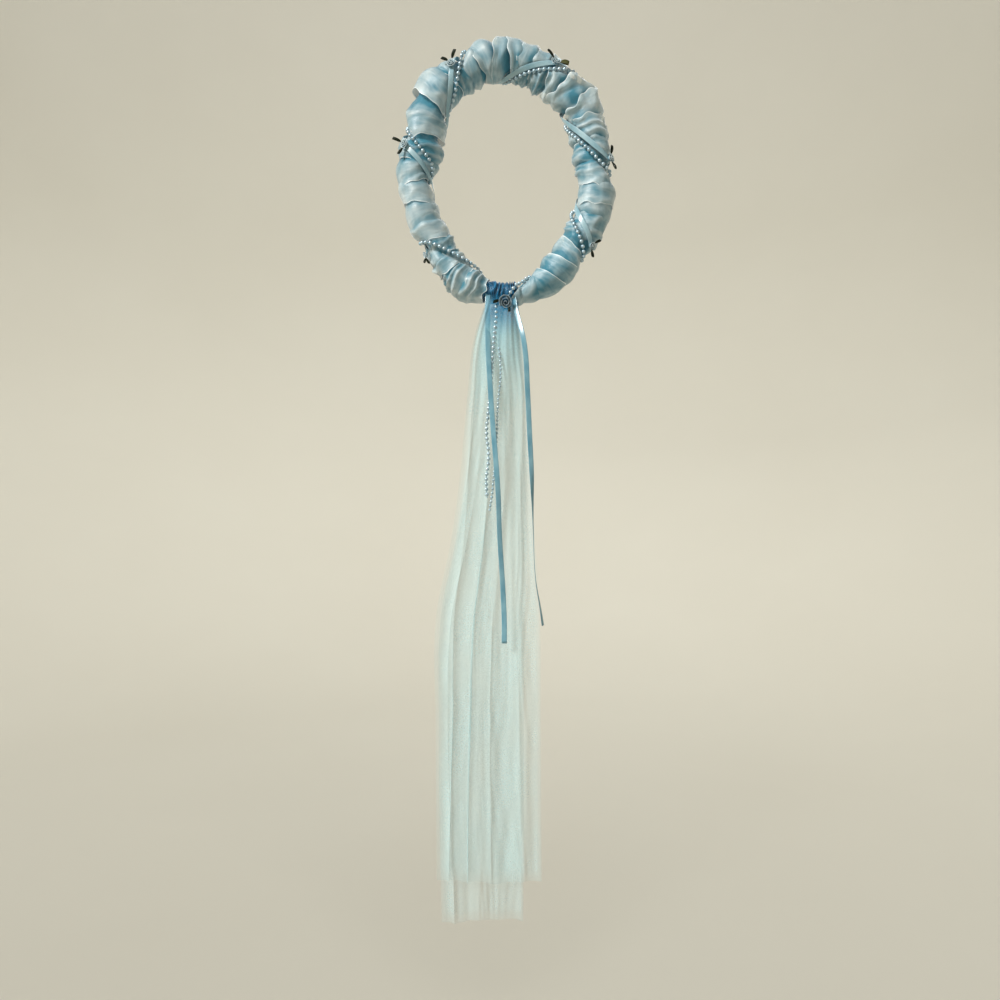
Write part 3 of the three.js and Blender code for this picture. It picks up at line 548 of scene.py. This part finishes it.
def pearl_material():
    """Moulded beads with a silvery blue lustre."""
    shader = Shader("pearl_bead", Metallic=0.45, Coat_Weight=0.7, Coat_Roughness=0.08)
    milk = shader.noise(shader.solid_place(), 420.0, 2.0)
    pale, cool = paint("#c9d9e0"), paint("#93b2c0")
    shader.feed(Base_Color=shader.blend(shader.spread(milk, 0.35, 0.65, 0.0, 1.0), pale, cool))
    shader.feed(Roughness=shader.spread(milk, 0.3, 0.7, 0.26, 0.4))
    return shader.material


def core_material():
    """The hoop's plain wound tape, under the organza."""
    shader = Shader("hoop_tape", Roughness=0.8)
    fibres = shader.noise(shader.solid_place(), 600.0)
    shader.feed(Base_Color=shader.blend(fibres, paint("#5c97b4"), paint("#3f7896")))
    shader.bump(fibres, 0.4, 0.0004)
    return shader.material


def stage_material():
    shader = Shader("studio_paper", Roughness=0.9)
    shader.surface.inputs["Specular IOR Level"].default_value = 0.1
    tone = shader.noise(shader.solid_place(), 1.5)
    shader.feed(Base_Color=shader.blend(tone, paint("#dcd9cd"), paint("#d6d2c5")))
    return shader.material


# Camera, light and stage


def add_camera():
    data = bpy.data.cameras.new("camera")
    data.lens, data.sensor_width = LENS["length"], LENS["sensor"]
    camera = bpy.data.objects.new("camera", data)
    distance = PICTURE["width"] * LENS["length"] / LENS["sensor"]
    camera.location = (PICTURE["centre_x"] * MM, -distance * MM, PICTURE["centre_z"] * MM)
    camera.rotation_euler = (math.pi / 2, 0.0, 0.0)
    bpy.context.scene.collection.objects.link(camera)
    bpy.context.scene.camera = camera


def aimed(aim):
    """The turn that points a light along a direction."""
    rise = math.atan2(aim[2], math.hypot(aim[0], aim[1]))
    return (math.pi / 2 + rise, 0.0, math.atan2(-aim[0], aim[1]))


def add_light(name, place, size, power, tint):
    """A square lamp that points at the object."""
    data = bpy.data.lights.new(name, "AREA")
    data.size, data.energy, data.color = size, power, tint
    light = bpy.data.objects.new(name, data)
    light.location = place
    light.rotation_euler = aimed(np.subtract(AIM, place))
    light.visible_camera = False
    bpy.context.scene.collection.objects.link(light)
    return light


def add_sun(name, place, power, spread, tint):
    """A sun that shines from a place towards the origin."""
    data = bpy.data.lights.new(name, "SUN")
    data.energy, data.angle, data.color = power, math.radians(spread), tint
    light = bpy.data.objects.new(name, data)
    light.rotation_euler = aimed(np.negative(place))
    bpy.context.scene.collection.objects.link(light)
    return light


def add_lights(paper):
    """A key and a fill for the object, a wash for the paper, and a rim and a soft sky for both."""
    key = add_sun("key", **KEY)
    wash = add_sun("wash", **WASH)
    fill = add_light("fill", **FILL)
    for light, state in ((key, "EXCLUDE"), (fill, "EXCLUDE"), (wash, "INCLUDE")):
        group = bpy.data.collections.new(f"{light.name}_on_paper")
        group.objects.link(paper)
        group.collection_objects[0].light_linking.link_state = state
        light.light_linking.receiver_collection = group
    add_light("rim", **RIM)
    world = bpy.data.worlds.new("studio")
    world.use_nodes = True
    sky = world.node_tree.nodes["Background"]
    sky.inputs["Color"].default_value = SKY["tint"]
    sky.inputs["Strength"].default_value = SKY["power"]
    bpy.context.scene.world = world


def add_stage():
    """A round paper sweep: a flat floor that curves up into a wall on all sides."""
    flat, bend, wall = STAGE["flat"], STAGE["bend"], STAGE["wall"]
    arc = np.linspace(0, math.pi / 2, 16)
    radius = np.concatenate([[0.02, flat / 2], flat + bend * np.sin(arc), [flat + bend]])
    height = np.concatenate([[0.0, 0.0], bend * (1 - np.cos(arc)), [wall]])
    turn = np.linspace(0, 2 * math.pi, 96, endpoint=False)
    points = np.stack([
        radius[:, None] * np.cos(turn), radius[:, None] * np.sin(turn),
        np.broadcast_to(height[:, None] + STAGE["floor"], (len(radius), len(turn))),
    ], axis=-1)
    faces = tube_faces(len(radius), len(turn)).tolist()
    faces.append(list(range(len(turn)))[::-1])
    mesh = bpy.data.meshes.new("paper_sweep")
    mesh.from_pydata(points.reshape(-1, 3).tolist(), [], faces)
    mesh.polygons.foreach_set("use_smooth", np.ones(len(mesh.polygons), bool))
    mesh.materials.append(stage_material())
    sweep = bpy.data.objects.new("paper_sweep", mesh)
    sweep.visible_shadow = False
    bpy.context.scene.collection.objects.link(sweep)
    return sweep


# Free ribbon ends


def add_ribbon_tail(name, route, material):
    """A free end of the ribbon, which hangs along a route and twists with it."""
    line = smooth_line(route, RIBBON["tail_step"])
    centres, twist = line[:, :3], np.radians(line[:, 3])
    ahead = unit(np.gradient(centres, axis=0))
    face = np.stack([np.sin(twist), -np.cos(twist), np.zeros_like(twist)], axis=1)
    across = unit(np.cross(face, ahead))
    points, faces, uv = strip_mesh(
        centres, across, np.cross(ahead, across), RIBBON["width"], RIBBON["thickness"])
    tail = add_piece(f"{name}_cloth", points, faces, [material], uv)
    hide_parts(name)


# Organza


def panel_grid(crest, back, fore, tilt, dip, ruffle, flare, gather):
    """One gathered sleeve: points, places on the cloth and a fold tone for painted shade and highlight,
    from root to lip.
    """
    side, fore = math.copysign(1, fore), abs(fore)
    steps = np.linspace(-back, fore - PANEL["hem"] / MM_PER_DEGREE, PANEL["steps"])
    step = np.append(steps, fore)[:, None]
    behind = np.linspace(-90, -10, PANEL["back_steps"] // 2, endpoint=False)
    before = np.linspace(-10, 190, PANEL["front_steps"])
    turn = np.concatenate([behind, before, 180 - behind[::-1]])[None, :]
    angle = np.radians(turn)
    share, ahead = (step + back) / (back + fore), np.clip(step / fore, 0, 1)
    first, second, third, fourth = dice.uniform(0, 2 * math.pi, 4)
    slant = dice.uniform(1.5, 4.0, 2) * dice.choice([-1, 1], 2)
    edge = np.sin(5 * angle + first) + 0.6 * np.sin(9 * angle + second)
    degrees = crest + side * step + tilt * np.cos(angle) * share
    facing = np.clip(np.sin(angle), 0, 1)
    degrees = degrees + side * ruffle * edge * (0.4 + 0.6 * facing) * ahead ** 2 / MM_PER_DEGREE
    lip_dip = dip + PANEL["outer_dip"] * (1 - facing)
    drop = np.where(step < 0, PANEL["root_dip"] * ease(-step / back), lip_dip * ease(ahead))
    wander = 1.7 * np.sin(angle + second) + 0.9 * np.sin(2 * angle + third)
    wander = wander + 0.5 * np.sin(5 * angle + fourth)
    fade = 0.7 + 0.3 * np.sin(2 * angle + fourth)
    bunch = step + 1.1 * np.sin(0.55 * step + fourth)
    pleat = dice.uniform(4.4, 7.0) * max(1.0, 2.2 - 0.5 * gather, 0.36 * flare)
    across = ridge(2 * math.pi * bunch / pleat + 1.4 * wander + first) * fade
    lengthwise = 0.6 * ridge(3 * angle + slant[0] * share + first)
    lengthwise = lengthwise + 0.45 * ridge(7 * angle + slant[1] * share + third)
    folds = 0.9 * across + 0.6 * lengthwise
    curl = 0.55 + 0.3 * np.sin(4 * angle + second) + 0.15 * np.sin(9 * angle + third)
    stand = flare * ease((ahead - 0.2) / 0.8) * curl * (0.15 + 0.85 * facing)
    still = 1 - 0.85 * pinch_at(degrees, turn)
    reach = wrap_reach(degrees, turn) * (1 - drop) + (gather * folds + stand) * still
    cover = ease((HEADER["stop"] - 360 + PANEL["cover"] - degrees) / PANEL["cover"])
    reach = np.maximum(reach, (HEADER["radius"] + OVER_HEADER["organza"]) * cover * (side < 0))
    # The fold tone: pale on crests and towards a flared lip, darker in the hollows and darker still
    # where the panel dips, most at its root under the lip before it, and bluer or paler by panel. The
    # material paints shade and highlight with it, on top of the bluer depth of stacked sheer layers.
    contrast = min(1.0, 0.2 + 0.22 * gather)
    sunk = np.where(step < 0, 2.2, 1.3) * drop
    lip = 0.35 * ahead * (flare > 0.3)
    height = 0.62 - PANEL_SHADE.get(crest, 0.0) + contrast * folds - sunk + lip
    along = (step + back) * MM_PER_DEGREE * np.ones_like(turn)
    around = angle * PANEL["cloth_radius"] * np.ones_like(step)
    return ring_point(degrees, turn, reach), np.stack([around, along], axis=-1), np.clip(height, 0, 1)


def lining_grid():
    """The inner layers of the same strip, wound close round the hoop, as a panel's grid."""
    degrees = np.linspace(LINING["start"], LINING["stop"], LINING["steps"])[:, None]
    turn = np.linspace(-90, 270, LINING["around"] + 1)[None, :]
    angle = np.radians(turn)
    pleats = np.sin(degrees * 0.9 + 2 * np.sin(angle)) + 0.6 * np.sin(degrees * 1.9 - 3 * np.cos(angle))
    reach = wrap_reach(degrees, turn) * (LINING["level"] + LINING["pleats"] * pleats)
    ends = np.minimum(degrees - LINING["start"], LINING["stop"] - degrees) / LINING["end_degrees"]
    reach = LINING["end"] + (reach - LINING["end"]) * ease(ends)
    run = degrees * MM_PER_DEGREE * np.ones_like(turn)
    uv = np.stack([angle * LINING["cloth_radius"] * np.ones_like(degrees), run], axis=-1)
    # Its fold tone, paler on the pleats' crests and darker in their hollows, is painted shade.
    return ring_point(degrees, turn, reach), uv, np.clip(0.5 + 0.35 * pleats, 0, 1)


def add_organza():
    """All panels and the lining as one piece of cloth, with a paler hem along each lip."""
    outer = organza_material("organza", paint("#d4e5e8"), paint("#4a8ca1"), 0.62, 0.82)
    # The inner layers are the same cloth in darker blues: painted shade for the layers inside the wrap.
    inner = organza_material("organza_under_shaded", paint("#66a0b5"), paint("#38748e"), 0.98, 1.0)
    hem = organza_material("organza_hem", paint("#e6f0f1"), paint("#d4e3e6"), 0.8, 0.9)
    points, faces, uvs, folds, kinds = [], [], [], [], []
    first = 0
    for grid, uv, fold in [panel_grid(*row) for row in PANELS] + [lining_grid()]:
        rows, columns = grid.shape[:2]
        faces.append(grid_faces(rows, columns, first))
        kind = np.zeros((rows - 1, columns - 1), int)
        kind[-1] = 2
        kinds.append(kind.ravel())
        points.append(grid.reshape(-1, 3))
        uvs.append(uv.reshape(-1, 2))
        folds.append(fold.ravel())
        first += rows * columns
    kinds[-1][:] = 1
    organza = add_piece(
        "organza_cloth", np.concatenate(points), np.concatenate(faces),
        [outer, inner, hem], np.concatenate(uvs), np.concatenate(kinds), np.concatenate(folds))
    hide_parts("organza_wrap")


# Ribbon, pearls, roses and leaves on the crown


def wound_line(apart, half_width, lift, spacing, tuck, under=()):
    """Centres, turns and ring angles of a line wound over the organza, and under it in places."""
    turn = np.linspace(WINDING["start"], WINDING["stop"], 1400)
    degrees = winding_angle(turn) + apart
    across = np.linspace(-1, 1, 5)[:, None] * half_width / MM_PER_DEGREE
    reach = np.where(
        (degrees > HEADER["stop"] - 360) & (degrees < HEADER["start"]),
        wrap_reach(degrees + across, turn + 0 * across).max(axis=0),
        HEADER["radius"] + OVER_HEADER["winding"])
    window = np.hanning(41)
    padded = np.pad(reach, 20, mode="edge")
    reach = np.maximum(np.convolve(padded, window / window.sum(), mode="valid"), reach - 0.4) + lift
    tucked = np.cos(np.radians(turn - tuck["turn"]))
    reach = reach - tuck["depth"] * ease((tucked - tuck["begins"]) / tuck["soft"])
    for begin, finish in under:
        inside = np.minimum(turn - begin, finish - turn) / UNDER["slope"]
        reach = reach - UNDER["depth"] * ease(inside)
    reach = np.maximum(reach, WINDING["least"])
    rows = np.column_stack([ring_point(degrees, turn, reach), turn, degrees])
    run = lengths_along(rows[:, :3])
    even = np.linspace(0, run[-1], round(run[-1] / spacing) + 1)
    rows = np.stack([np.interp(even, run, column) for column in rows.T], axis=1)
    return rows[:, :3], rows[:, 3], rows[:, 4]


def add_wound_ribbon(line, material):
    """The ribbon on the crown, with its face away from the hoop."""
    centres, turn, degrees = line
    away = ring_away(degrees, turn)
    ahead = unit(np.gradient(centres, axis=0))
    across = unit(np.cross(away, ahead))
    points, faces, uv = strip_mesh(
        centres, across, unit(np.cross(ahead, across)), RIBBON["width"], RIBBON["thickness"])
    ribbon = add_piece("satin_ribbon_cloth", points, faces, [material], uv)
    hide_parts("satin_ribbon")


def bead_shape():
    """Points and faces of a ball with a radius of 1."""
    sides, rings = 14, 9
    tilt = np.linspace(0, math.pi, rings + 1)[1:-1]
    angle = np.linspace(0, 2 * math.pi, sides, endpoint=False)
    body = np.stack([
        np.sin(tilt)[:, None] * np.cos(angle), np.sin(tilt)[:, None] * np.sin(angle),
        np.broadcast_to(np.cos(tilt)[:, None], (len(tilt), sides)),
    ], axis=-1).reshape(-1, 3)
    points = np.concatenate([body, [(0, 0, 1), (0, 0, -1)]])
    faces = tube_faces(len(tilt), sides)[:, ::-1].tolist()
    top, bottom, last = len(body), len(body) + 1, (len(tilt) - 1) * sides
    for j in range(sides):
        k = (j + 1) % sides
        faces.append([top, j, k])
        faces.append([bottom, last + k, last + j])
    return points, faces


def add_pearls(node, line, size, bead_material, thread_material):
    """Beads on a thread along a line of points."""
    run = lengths_along(line)
    radius = size["diameter"] / 2
    at = np.arange(radius, run[-1], size["pitch"])
    centres = np.stack([np.interp(at, run, column) for column in line.T], axis=1)
    ball, ball_faces = bead_shape()
    points = (centres[:, None] + ball * radius).reshape(-1, 3)
    faces = [[v + k * len(ball) for v in face] for k in range(len(centres)) for face in ball_faces]
    kinds = [0] * len(faces)
    ahead = unit(np.gradient(line, axis=0))
    side = unit(np.cross(ahead, np.array([0.13, 0.97, 0.21])))
    other = np.cross(ahead, side)
    angle = np.linspace(0, 2 * math.pi, 6, endpoint=False)
    ring = np.cos(angle)[:, None] * side[:, None] + np.sin(angle)[:, None] * other[:, None]
    thread = (line[:, None] + ring * size["thread"] / 2).reshape(-1, 3)
    thread_faces = tube_faces(len(line), len(angle), len(points)).tolist()
    string = add_piece(
        f"{node}_beads", np.concatenate([points, thread]), faces + thread_faces,
        [bead_material, thread_material], None, kinds + [1] * len(thread_faces))
    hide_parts(node)


def rose_frame(index):
    """Where a rose stands: its foot, its axes along the ring, across it and away, and its size."""
    if index == 0:
        at, turn = BOTTOM_ROSE["at"], BOTTOM_ROSE["turn"]
        reach = HEADER["radius"] + OVER_HEADER["rose"]
        foot = ring_point(np.array(at), np.array(turn), np.array(reach))
        foot = foot + np.array(BOTTOM_ROSE["shift"])
    else:
        turn = 360.0 * index + TURNS[index][3]
        centres, turns, angles = ribbon_line
        at = float(np.interp(turn, turns, angles))
        foot = np.array([np.interp(turn, turns, column) for column in centres.T])
    along = ring_frame(np.array(at))[1]
    away = ring_away(np.array(at), np.array(turn))
    return foot, along, np.cross(away, along), away, ROSE_SIZES[index]


def add_rose(index, material):
    """A coiled strip of satin whose outer turns open and roll back."""
    foot, along, across, away, size = rose_frame(index)
    share = np.linspace(0, 1, 150)[:, None]
    up = np.linspace(0, 1, 9)[None, :]
    angle = 2 * math.pi * ROSE["turns"] * share + index
    petals = 1 + 0.14 * np.sin(5.2 * angle / ROSE["turns"] + index) * share
    open_out = share * ease((up - 0.35) / 0.65)
    radius = (0.5 + (ROSE["radius"] - 1.5) * share) * (0.8 + 0.2 * up) * petals + 1.4 * open_out
    height = ROSE["foot"] * 0.3 + (ROSE["height"] + 0.9) * up * (1 - 0.22 * share)
    height = height - 0.9 * open_out ** 2 + 0.25 * np.sin(9 * angle) * share * up
    points = foot + size * (
        (radius * np.cos(angle))[..., None] * along + (radius * np.sin(angle))[..., None] * across
        + height[..., None] * away)
    run = np.broadcast_to(share * ROSE["strip"], points.shape[:2])
    uv = np.stack([np.broadcast_to(up * ROSE["height"], points.shape[:2]), run], axis=-1)
    # Painted shade: the satin is darker down in the coil and paler towards the petals' rims.
    rim = np.broadcast_to(ease((up - 0.45) / 0.55), points.shape[:2])
    rose = add_piece(
        f"rose_{index + 1}_petals", points.reshape(-1, 3), grid_faces(*points.shape[:2]),
        [material], uv.reshape(-1, 2), None, rim.ravel())
    thicken = rose.modifiers.new("cloth_thickness", "SOLIDIFY")
    thicken.thickness, thicken.offset = ROSE["cloth"] * MM, 0.0
    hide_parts(f"rose_{index + 1}")


def add_leaf(index, number, heading, rise, long, wide, material):
    """A narrow loop of ribbon that springs from the side of its rose and bends over."""
    foot, along, across, away, size = rose_frame(index)
    heading, rise = math.radians(heading), math.radians(rise)
    outward = along * math.cos(heading) + across * math.sin(heading)
    forward = outward * math.cos(rise) + away * math.sin(rise)
    lift = away * math.cos(rise) - outward * math.sin(rise)
    sideways = np.cross(forward, lift)
    root = foot + outward * (size * ROSE["radius"] * 0.7) + away * (0.8 * LEAF["seat"])
    around = np.linspace(0, 2 * math.pi, 33)
    length = LEAF["length"] * long
    reach = length * (0.5 - 0.5 * np.cos(around))
    belly = LEAF["belly"] * np.sin(around) * (0.25 + 0.75 * ease(reach / length))
    belly = belly - LEAF["droop"] * (reach / length) ** 2
    bend = (-1) ** number * LEAF["bend"] * (reach / length) ** 2
    centres = root + reach[:, None] * forward + belly[:, None] * lift + bend[:, None] * sideways
    ahead = unit(np.gradient(centres, axis=0))
    width = wide * (0.4 + 0.6 * ease(reach / (0.5 * length)))
    points, faces, uv = strip_mesh(
        centres, sideways * width[:, None], unit(np.cross(ahead, sideways)), LEAF["width"],
        LEAF["thickness"])
    leaf = add_piece(f"leaf_{index + 1}_{number}_loop", points, faces, [material], uv)
    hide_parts(f"leaf_{index + 1}_{number}")


# Veil


def add_header(material):
    """The veil's gathered top, wrapped over the hoop in soft uneven pleats."""
    share = np.linspace(0, 1, 150)[:, None]
    turn = np.linspace(-90, 270, 97)[None, :]
    angle = np.radians(turn)
    degrees = HEADER["start"] + (HEADER["stop"] - HEADER["start"]) * share + 0 * angle
    lean = 0.16 * np.sin(angle + 5 * share) + 0.09 * np.sin(3 * angle - 4 * share)
    place = share + 0.045 * np.sin(7 * share + 1) + 0.03 * np.sin(15 * share) + 0.25 * lean * (1 - share)
    pleats = ridge(2 * math.pi * HEADER["pleats"] * place)
    small = ridge(2 * math.pi * 2.6 * HEADER["pleats"] * share - 5 * lean)
    uneven = 0.65 + 0.35 * np.sin(2 * angle + 11 * share)
    reach = HEADER["radius"] + HEADER_FOLDS["deep"] * pleats * uneven + HEADER_FOLDS["small"] * small
    ends = np.minimum(share, 1 - share) / HEADER_FOLDS["end_share"]
    reach = reach - HEADER_FOLDS["end_drop"] * (1 - ease(ends))
    points = ring_point(degrees, turn, reach)
    uv = np.stack([share * 120.0 + 0 * angle, angle * 12.0 + 0 * share], axis=-1)
    # The fold tone for painted shade: darker in the pleats' hollows and paler on their crests.
    fold = np.clip(0.5 + 0.8 * pleats * uneven + 0.3 * small, 0, 1)
    header = add_piece(
        "veil_header_pleats", points.reshape(-1, 3), grid_faces(*points.shape[:2]),
        [material], uv.reshape(-1, 2), None, fold.ravel())
    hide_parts("veil_header")


def veil_points(rows, side, laps):
    """One layer: a wide net, in small gathers at the top that open into a few broad laps.

    With its points come the share across and the drop of each column and row, and how far inside the
    hem and edges a point lies, from 0 to 1.
    """
    drop = np.linspace(-VEIL["rise"], rows[-1, 0], VEIL["down"])[:, None]
    share = np.linspace(0, 1, VEIL["across"])[None, :]
    fall = np.clip(drop / BACK_LAYER[-1, 0], 0, 1)
    one, two, three, four = dice.uniform(0, 2 * math.pi, 4)
    opened = ease(drop / VEIL["opens_by"])
    wander = 0.24 * np.sin(3.1 * fall + 4 * share + three) + 0.11 * np.sin(8 * fall + 7 * share + four)
    broad = 2 * math.pi * (laps * share + 0.18 * np.sin(5 * share + one) + wander - 0.12 * side)
    gathers = 2 * math.pi * (VEIL["gathers"] * share + 0.5 * np.sin(9 * share + two) + 0.4 * wander)
    left = curve_through(rows[:, 0], rows[:, 1], drop)
    right = curve_through(rows[:, 0], rows[:, 2], drop)
    inside = ease(np.minimum(share, 1 - share) / VEIL["flat_edge"])
    lap = (0.11 + 0.06 * np.sin(7 * share + four)) * opened * inside
    x = left + (right - left) * (share + lap * np.sin(broad) / laps)
    y = side * VEIL["apart"] + VEIL["lap_depth"] * opened * np.cos(broad) * inside
    y = y + VEIL["gather_depth"] * (1 - 0.92 * opened) * np.sin(gathers)
    drift = 2.2 * np.sin(11 * fall + 6 * share + one) + 1.3 * np.sin(23 * fall - 9 * share + two)
    crumple = np.sin(47 * share + drift) + 0.7 * np.sin(81 * share - 1.6 * drift + three)
    y = y + VEIL["crumple"] * opened * inside * crumple
    over_header = ease((drop + 25) / 30) * ease((110 - drop) / 95)
    y = y - VEIL["forward"] * over_header * (side < 0) * (0.25 + 0.75 * ease((1 - share) / 0.3))
    hem = 1.8 * np.sin(x / 16 + four) + 0.8 * np.sin(x / 6 + one)
    z = VEIL_TOP_Z - drop + hem * fall ** 3
    soft_hem = ease((rows[-1, 0] - drop) / VEIL["soft_hem"])
    soft_edge = ease(share / VEIL["soft_left"]) * ease((1 - share) / VEIL["soft_right"])
    return np.stack(np.broadcast_arrays(x, y, z), axis=-1), share, drop, soft_hem * soft_edge


def add_veil_layer(node, rows, side, laps, material):
    """A hanging layer of net: side is -1 for the front one and 1 for the back one."""
    points, share, drop, inner = veil_points(rows, side, laps)
    width = VEIL_FLAT_WIDTH[node]
    across = share * width / MM + 0 * drop
    uv = np.stack([across, drop + VEIL["rise"] + 0 * share], axis=-1)
    layer = add_piece(
        f"{node}_net", points.reshape(-1, 3), grid_faces(*points.shape[:2]),
        [material], uv.reshape(-1, 2), None, inner.ravel())
    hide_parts(node)


# The scene

bpy.context.scene.cycles.transparent_max_bounces = 64
bpy.context.scene.view_settings.view_transform = "Standard"

add_camera()
satin = satin_material("satin_ribbon", paint("#a8c4cc"), paint("#7fa6b3"), 0.26)
tail_satin = satin_material("satin_tail", paint("#7fa9b6"), paint("#5c8fa2"), 0.24)
add_ribbon_tail("ribbon_tail_left", RIBBON_TAIL_LEFT, tail_satin)
add_ribbon_tail("ribbon_tail_right", RIBBON_TAIL_RIGHT, tail_satin)
add_lights(add_stage())

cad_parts["ring_core"].data.materials.clear()
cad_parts["ring_core"].data.materials.append(core_material())

add_organza()
wound_ribbon = (WINDING["apart"], RIBBON["width"] / 2, RIBBON["lift"], RIBBON["step"], RIBBON_TUCK)
ribbon_line = wound_line(*wound_ribbon)
add_wound_ribbon(wound_line(*wound_ribbon, RIBBON_UNDER), satin)
pearl = pearl_material()
# The thread is darker than the beads as painted shade between them.
thread = satin_material("pearl_thread_shaded", paint("#8fb0bd"), paint("#6d93a3"), 0.5)
bead = PEARL["diameter"] / 2
wound_pearls, _, _ = wound_line(
    -WINDING["apart"], bead, bead - PEARL["sunk"], PEARL["step"], PEARL_TUCK, PEARLS_UNDER)
add_pearls("pearl_string", wound_pearls, PEARL, pearl, thread)
left_line = smooth_line(PEARL_TAIL_LEFT, PEARL["step"])
add_pearls("pearl_tail_left", left_line, PEARL, pearl, thread)
right_line = smooth_line(PEARL_TAIL_RIGHT, FINE_PEARL["step"])
add_pearls("pearl_tail_right", right_line, FINE_PEARL, pearl, thread)

# The roses' satin darkens down into the coil as painted shade; the lowest rose has a darker satin with a
# very dark coil.
rose_satin = satin_material("rose_satin", paint("#dce9ec"), paint("#7fa3b0"), 0.35, 0.6, True)
dark_satin = satin_material("rose_dark_satin", paint("#a9bcc6"), paint("#26404f"), 0.35, 0.6, True)
leaf_satin = satin_material("leaf_satin", paint("#22301c"), paint("#0c130b"), 0.55, 0.15)
olive_satin = satin_material("leaf_olive", paint("#5a5a2a"), paint("#2f3217"), 0.55, 0.15)
for index, leaves in enumerate(LEAVES):
    add_rose(index, dark_satin if index == 0 else rose_satin)
    for number, row in enumerate(leaves, start=1):
        add_leaf(index, number, *row, olive_satin if row[3] > OLIVE_WIDTH else leaf_satin)

# The header's tulle is painted very dark in its pleats' hollows: painted shade.
add_header(organza_material("header_tulle", paint("#1a79a8"), paint("#04344e"), 0.98, 1.0))
tulle = tulle_material("tulle", paint("#2480ab"), paint("#8fc6d4"), paint("#b4d6d9"), paint("#b6d6d9"))
add_veil_layer("veil_front", FRONT_LAYER, -1, 4, tulle)
add_veil_layer("veil_back", BACK_LAYER, 1, 3, tulle)
